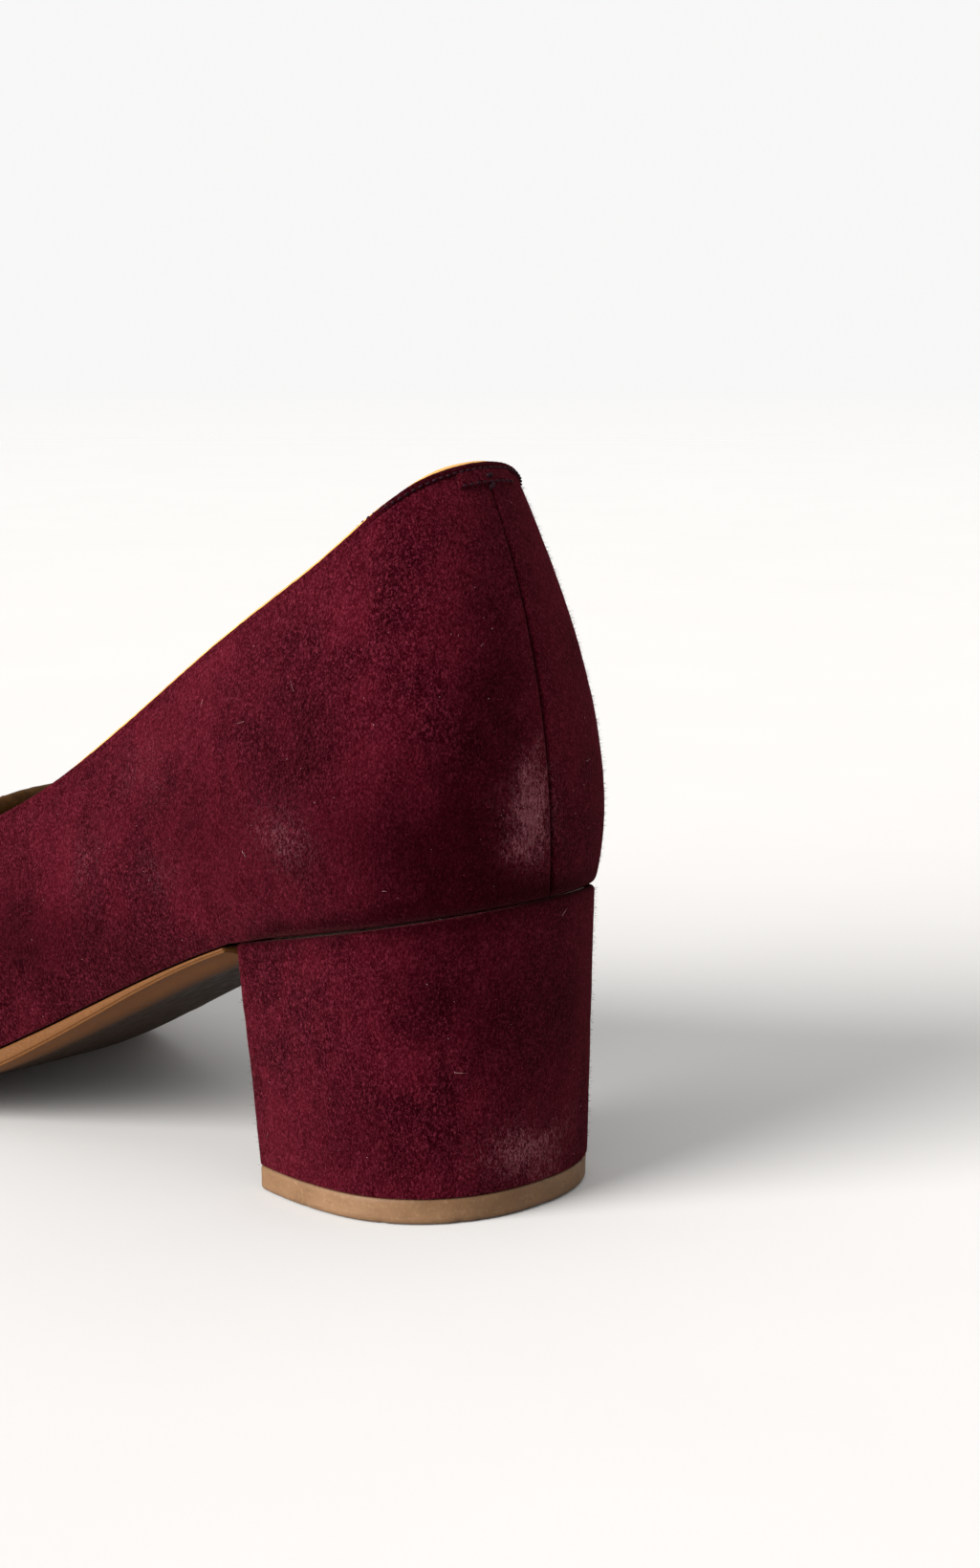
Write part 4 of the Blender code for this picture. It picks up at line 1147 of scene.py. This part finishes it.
def build_edge_band(top, under):
    """The sanded edge of the outsole as a thin band of its own, with a crisp line above and below it."""
    loop = np.concatenate([top[:, 0], top[-1, 1:-1], top[::-1, -1]])
    foot = np.concatenate([under[:, 0], under[-1, 1:-1], under[::-1, -1]])
    middle = loop[:, :2].mean(axis=0)
    along = unit(np.gradient(loop, axis=0))
    down = unit(foot - loop)
    out = unit(np.cross(down, along))
    out *= np.sign(np.sum(out[:, :2] * (loop[:, :2] - middle), axis=-1))[:, None]
    tall = np.linalg.norm(foot - loop, axis=-1)[:, None]
    rings = [loop + down * tall * share + out * reach for reach, share in BAND_PROFILE]
    points, faces = tube_solid(np.stack(rings, axis=1))
    ones = np.ones(len(points))
    piece_of("outsole_edge_band", points, faces, SOLE_LEATHER, "sole_leather", (),
             [("edge", ones), ("tread", ones * 0), ("shade_and_dirt", ones * 0)])


def plate_skin(name, span, step, inset, lift, thickness, crown, look, slot, replaces):
    """A footbed piece over the bottom of the last, with rounded edges and a slight crown."""
    u, w = plate_grid(*span, step)
    inset = inset(u) if callable(inset) else np.full_like(u, inset)
    low, up = plate_points(u, w, inset, lift)
    drop = np.minimum(edge_drop(low, (0.5, 0.5, 0.5, 0.5)), thickness * 0.8)
    inward = from_sides(low)
    high = low + up * (thickness - drop + crown * smooth(inward / 9.0) + leather_relief(low))[..., None]
    points, faces = sheet_solid(high, low)
    # Darker within 2 mm of its edges.
    shade_and_dirt = np.tile((0.35 * smooth(1 - inward / 2.0)).ravel(), 2)
    return piece_of(name, points, faces[:, ::-1], look, slot, replaces, [("shade_and_dirt", shade_and_dirt)])


def build_footbed():
    """The leather sock with its stitched border, and the foam pad swelling under its heel."""
    plate_skin("sock_leather", (0.0, TOE), 1.0, insole_inset, sock_lift, SOCK_THICKNESS, 0.0,
               SOCK_LEATHER, "sock", ("sock_lining",))
    foam = plain_look("foam", (0.44, 0.38, 0.28), (0.62, 0.56, 0.44), 0.8, 0.9, 0.15)
    pad = plate_skin("heel_pad_foam", (0.4, 4.0), 1.2, PAD_INSET, insole_top, PAD_THICKNESS - 0.35, 0.3,
                     foam, "foam", ("heel_pad",))
    u = np.linspace(0.35, 2 * TOE - 0.35, 900)
    flat = plan(u, insole_inset(u) + 3.0)[0]
    lift = sock_lift(plan(u)[0][:, 1]) + SOCK_THICKNESS + 0.02
    height = feather_height(flat[:, 0], flat[:, 1]) + lift
    path = np.concatenate([flat, height[:, None]], axis=-1)
    up = np.tile([0.0, 0.0, 1.0], (len(u), 1))
    stitch_row("sock_border_stitches", path, up, SOCK_ROW, TAN_THREAD, "sock")


# ---- the heel ----

def heel_outline(share, inset, count, corner=1.1):
    """The heel's D-shaped outline at a share of its height as evenly spaced points with rounded corners."""
    size = {key: HEEL_FLOOR[key] + (HEEL_SEAT[key] - HEEL_FLOOR[key]) * share for key in HEEL_FLOOR}
    wide, arc = size["half_width"] - inset, size["arc"] - inset
    middle, front = size["back"] - size["arc"], size["back"] - size["length"] + inset
    breast = size["breast"] - inset
    turn, bend = np.linspace(0, math.pi, 400), 2 / HEEL_POWER
    x, y = wide * squared(np.cos(turn), bend), middle + arc * squared(np.sin(turn), bend)
    side = np.linspace(0, 1, 80)[1:]
    side_x, side_y = -wide + (wide - breast) * side ** 2, middle + (front - middle) * side
    across = np.linspace(-1, 1, 160)[1:-1]
    x = np.concatenate([x, side_x, across * breast, -side_x[::-1]])
    y = np.concatenate([y, side_y, front + BREAST_HOLLOW * (1 - across ** 2), side_y[::-1]])
    return softened(np.stack([x, y], axis=-1), corner, count)


def softened(ring, corner, count, fine=2000):
    """A closed outline as evenly spaced points, its corners rounded over a distance in mm."""
    closed = np.concatenate([ring, ring[:1]])
    along = lengths_along(closed[:, None], 0)[:, 0]
    places = np.linspace(0, along[-1], fine, endpoint=False)
    even = np.stack([np.interp(places, along, column) for column in closed.T], axis=-1)
    window = max(int(corner / along[-1] * fine), 1)
    soft = sum(np.roll(even, k, axis=0) for k in range(-window, window + 1)) / (2 * window + 1)
    return soft[::fine // count][:count]


def heel_grid(shares, lowest, under_seat):
    """The heel's surface: level at the floor end and lying along the seat at the top end."""
    rings = []
    for share in shares:
        flat = heel_outline(share, 0.0, HEEL_POINTS)
        seat = SEAT_HEIGHT + SEAT_SLOPE * (flat[:, 1] - BREAST_Y) - under_seat
        rings.append(np.concatenate([flat, (lowest + (seat - lowest) * share)[:, None]], axis=-1))
    return np.stack(rings)


def ring_normals(grid):
    """Outward normals of a grid whose second direction is a closed ring."""
    around = np.roll(grid, -1, axis=1) - np.roll(grid, 1, axis=1)
    return unit(np.cross(around, np.gradient(grid, axis=0)))


def build_heel():
    """The suede heel cover, its edges turned in at both ends, and the top piece under it."""
    base = heel_grid(spread(HEEL_TALL, 0.5), TOP_PIECE_HEIGHT + 0.08, 0.10)
    normal = ring_normals(base)
    rise = lengths_along(base, 0)
    drop = np.maximum(rounding(rise, 0.30), rounding(rise[-1:] - rise, 0.70))
    drop = np.minimum(drop, HEEL_COVER * 0.9)
    joint = HEEL_SEAM_DEEP * np.exp(-(base[..., 0] / HEEL_SEAM_WIDE) ** 2) * (base[..., 1] < -30.0)
    outer = base - normal * (drop + joint - suede_relief(base) * (1 - smooth(drop / 0.4)))[..., None]
    inner = base - normal * HEEL_COVER
    points, faces = sheet_solid(outer, inner, wrap=True)
    # Painted shade: darker under the upper's edge at the top, where the cover's edges turn in, and in the
    # seam's groove, with the listed shade places added.
    shade = 0.35 * np.exp(-((rise[-1:] - rise) / 2.2) ** 2)
    turned = smooth(drop / 0.5) * (0.5 + 0.5 * smooth(rise / 20.0))
    shade_and_dirt = (wear_and_shade(PAINTED_SHADE_PLACES, base) + shade + turned + joint * 2).ravel()
    piece_of("heel_cover_suede", points, faces, SUEDE, "suede", ("heel_cover",),
             [("rub", np.tile(wear_and_shade(RUBBED, base).ravel(), 2)), ("shade_and_dirt", np.tile(shade_and_dirt, 2))])
    build_top_piece()
    return base, normal


def build_top_piece():
    """The tan top piece: slightly rounded, its lower edge worn."""
    rings = []
    for inset, height in TOP_PIECE_PROFILE:
        flat = heel_outline(0.0, inset, HEEL_POINTS, 0.8)
        rings.append(np.concatenate([flat, np.full((len(flat), 1), height)], axis=-1))
    rings = np.stack(rings[::-1])
    centre = rings.mean(axis=1, keepdims=True) * [1, 1, 0]
    side = unit((rings - centre) * [1, 1, 0])
    low_down = np.exp(-((rings[..., 2] - 0.3) / 0.5) ** 2)
    nicks = 0.5 * np.maximum(lattice_noise(rings, 1.7, 31) - 0.35, 0) * low_down
    wavy = 0.04 * lattice_noise(rings, 4.0, 32)
    rings = rings + side * (wavy - nicks)[..., None]
    inner_rows = [centre[0] + (rings[0] - centre[0]) * share for share in (0.30, 0.62, 0.90)]
    rings = np.concatenate([np.stack(inner_rows), rings])
    points, faces = tube_solid(rings)
    height = points[:, 2]
    # Floor dirt at the lower edge, and painted shade in a thin band at the top edge under the heel cover.
    shade_and_dirt = 0.55 * np.exp(-(height / 0.45) ** 2) + 0.35 * np.exp(-((height - TOP_PIECE_HEIGHT) / 0.18) ** 2)
    piece_of("top_piece_rubber", points, faces, RUBBER, "top_piece_rubber", ("top_piece",), [("shade_and_dirt", shade_and_dirt)])


# ---- nap, lint ----

def fibre_solids(roots, directions, lengths, radii, curls):
    """Closed, tapering, slightly curled fibres, each three-sided, as one set of points and faces."""
    aside = unit(np.cross(directions, np.array([0.31, 0.52, 0.80])))
    other = np.cross(directions, aside)
    turn = (np.arange(3) * 2 * math.pi / 3)[:, None]
    ring = np.cos(turn) * aside[:, None] + np.sin(turn) * other[:, None]
    points = []
    for share, girth in ((0.0, 1.0), (0.5, 0.85)):
        middle = roots + directions * (lengths * share)[:, None] + curls * (share ** 2 * lengths)[:, None]
        points.append(middle[:, None] + ring * (radii * girth)[:, None, None])
    tip = roots + directions * lengths[:, None] + curls * lengths[:, None]
    points = np.concatenate([points[0], points[1], tip[:, None]], axis=1).reshape(-1, 3)
    one = ((2, 1, 0), (0, 1, 4, 3), (1, 2, 5, 4), (2, 0, 3, 5), (3, 4, 6), (4, 5, 6), (5, 3, 6))
    return points, [[first + i for i in face] for first in range(0, len(points), 7) for face in one]


def nap_on(name, points, normals, draw, length, radius, look, stand=(0.35, 0.9)):
    """Short fibres growing from suede at the given points."""
    count = len(points)
    aside = unit(np.cross(normals, unit(draw.normal(size=(count, 3)))))
    upright = draw.uniform(*stand, count)[:, None]
    directions = unit(normals * upright + aside * (1 - upright))
    lengths = draw.uniform(*length, count)
    curls = unit(draw.normal(size=(count, 3))) * 0.25
    solids = fibre_solids(points - normals * 0.05, directions, lengths, np.full(count, radius), curls)
    return piece_of(name, *solids, look, "suede")


def build_nap(heel_base, heel_normal):
    """Loose nap over the suede, denser along the topline, with pale lint and a few stray hairs."""
    draw = np.random.default_rng(FIBRE_SEED)
    u = draw.uniform(-JOINT, JOINT, QUARTER_FIBRES)
    v = np.clip(draw.uniform(0.02, 1.0, len(u)) ** 0.8, 0.02, 0.99)
    points, normals = wall(u, v), normals_of(wall, u, v)
    points = points + normals * suede_relief(points)[:, None]
    nap_on("quarter_nap", points, normals, draw, (0.35, 0.85), 0.020, NAP)
    u = draw.uniform(-THROAT + 0.1, THROAT - 0.1, TOPLINE_FIBRES)
    edge, out, up = topline(u)
    mix = draw.uniform(0, 1, len(u))[:, None]
    lean = unit(out * (1 - mix) + up * mix)
    rim = edge + out * (0.24 * (1 - mix) - 0.6 * mix) + up * (0.35 + 0.80 * mix)
    nap_on("topline_nap", rim, lean, draw, (0.20, 0.50), 0.020, NAP)
    rows = draw.integers(2, len(heel_base) - 3, HEEL_FIBRES)
    columns = draw.integers(0, HEEL_POINTS, HEEL_FIBRES)
    points, normals = heel_base[rows, columns], heel_normal[rows, columns]
    points = points + unit(draw.normal(size=points.shape)) * 0.2
    nap_on("heel_nap", points + normals * 0.02, normals, draw, (0.35, 0.80), 0.020, NAP)
    build_lint(draw, heel_base, heel_normal)


def build_lint(draw, heel_base, heel_normal):
    """Pale specks of dust and a few short hairs lying on the suede."""
    u = draw.uniform(-JOINT, JOINT, QUARTER_SPECKS)
    v = draw.uniform(0.05, 0.95, len(u))
    points, normals = wall(u, v), normals_of(wall, u, v)
    rows = draw.integers(4, len(heel_base) - 5, HEEL_SPECKS)
    columns = draw.integers(0, HEEL_POINTS, HEEL_SPECKS)
    normals = np.concatenate([normals, heel_normal[rows, columns]])
    points = np.concatenate([points, heel_base[rows, columns]]) + normals * 0.10
    nap_on("lint_specks", points, normals, draw, (0.09, 0.21), 0.030, LINT, (0.0, 0.3))
    pick = draw.choice(len(points), HAIRS, replace=False)
    nap_on("stray_hairs", points[pick], normals[pick], draw, (0.8, 2.0), 0.013, LINT, (0.05, 0.2))


# ---- camera, floor and light ----

def build_camera():
    """The camera, aimed by its yaw and pitch."""
    data = bpy.data.cameras.new("camera")
    data.sensor_fit = "VERTICAL"
    data.sensor_width = data.sensor_height = SENSOR
    data.lens = CAMERA_LENS
    data.clip_start, data.clip_end = 0.01, 50.0
    camera = bpy.data.objects.new("camera", data)
    camera.location = CAMERA_PLACE
    level = math.cos(CAMERA_PITCH)
    forward = Vector((math.cos(CAMERA_YAW) * level, math.sin(CAMERA_YAW) * level, math.sin(CAMERA_PITCH)))
    camera.rotation_euler = forward.to_track_quat("-Z", "Y").to_euler()
    bpy.context.scene.collection.objects.link(camera)
    bpy.context.scene.camera = camera


def build_floor():
    """A pale floor that fades into the surroundings far from the shoe."""
    mesh = bpy.data.meshes.new("floor")
    corners = [(x * FLOOR_HALF, y * FLOOR_HALF, 0) for x, y in ((-1, -1), (1, -1), (1, 1), (-1, 1))]
    mesh.from_pydata(corners, [], [(0, 1, 2, 3)])
    floor = bpy.data.objects.new("floor", mesh)
    floor.location.z = CAD_BOX[0][2] - 0.0001
    look = Look("floor_paper", Roughness=0.9, Specular_IOR_Level=0.1)
    look.colour(look.mix(look.noise(60.0, 4.0), *FLOOR_COLOURS))
    look.bump(look.noise(2.0, 4.0), 0.05, 0.2)
    tree = look.tree
    distance = look.put("ShaderNodeVectorMath", {0: look.place}, operation="LENGTH").outputs["Value"]
    fade = look.fit(distance, *FLOOR_FADE)
    clear = tree.nodes.new("ShaderNodeBsdfTransparent")
    both = tree.nodes.new("ShaderNodeMixShader")
    tree.links.new(fade, both.inputs[0])
    tree.links.new(look.shader.outputs[0], both.inputs[1])
    tree.links.new(clear.outputs[0], both.inputs[2])
    tree.links.new(both.outputs[0], tree.nodes["Material Output"].inputs["Surface"])
    mesh.materials.append(look.material)
    bpy.context.scene.collection.objects.link(floor)


def build_light():
    """A bright room with broad window light from the shoe's outer side."""
    scene = bpy.context.scene
    scene.view_settings.view_transform = "Standard"
    world = bpy.data.worlds.new("room")
    world.use_nodes = True
    background = world.node_tree.nodes["Background"]
    background.inputs["Color"].default_value = (*ROOM_COLOUR, 1.0)
    background.inputs["Strength"].default_value = 1.0
    scene.world = world
    data = bpy.data.lights.new("window", "SUN")
    data.energy, data.angle, data.color = WINDOW_STRENGTH, WINDOW_SPREAD, WINDOW_COLOUR
    window = bpy.data.objects.new("window", data)
    window.rotation_euler = Vector(WINDOW_TOWARDS).to_track_quat("-Z", "Y").to_euler()
    scene.collection.objects.link(window)


build_camera()
build_floor()
build_light()
finish_inner_nodes()
build_quarters()
build_forepart()
build_linings()
build_binding()
build_topline_stitches()
build_back_tab()
build_tongue_edge()
build_strap()
build_apron_seam()
build_outsole()
build_footbed()
build_nap(*build_heel())
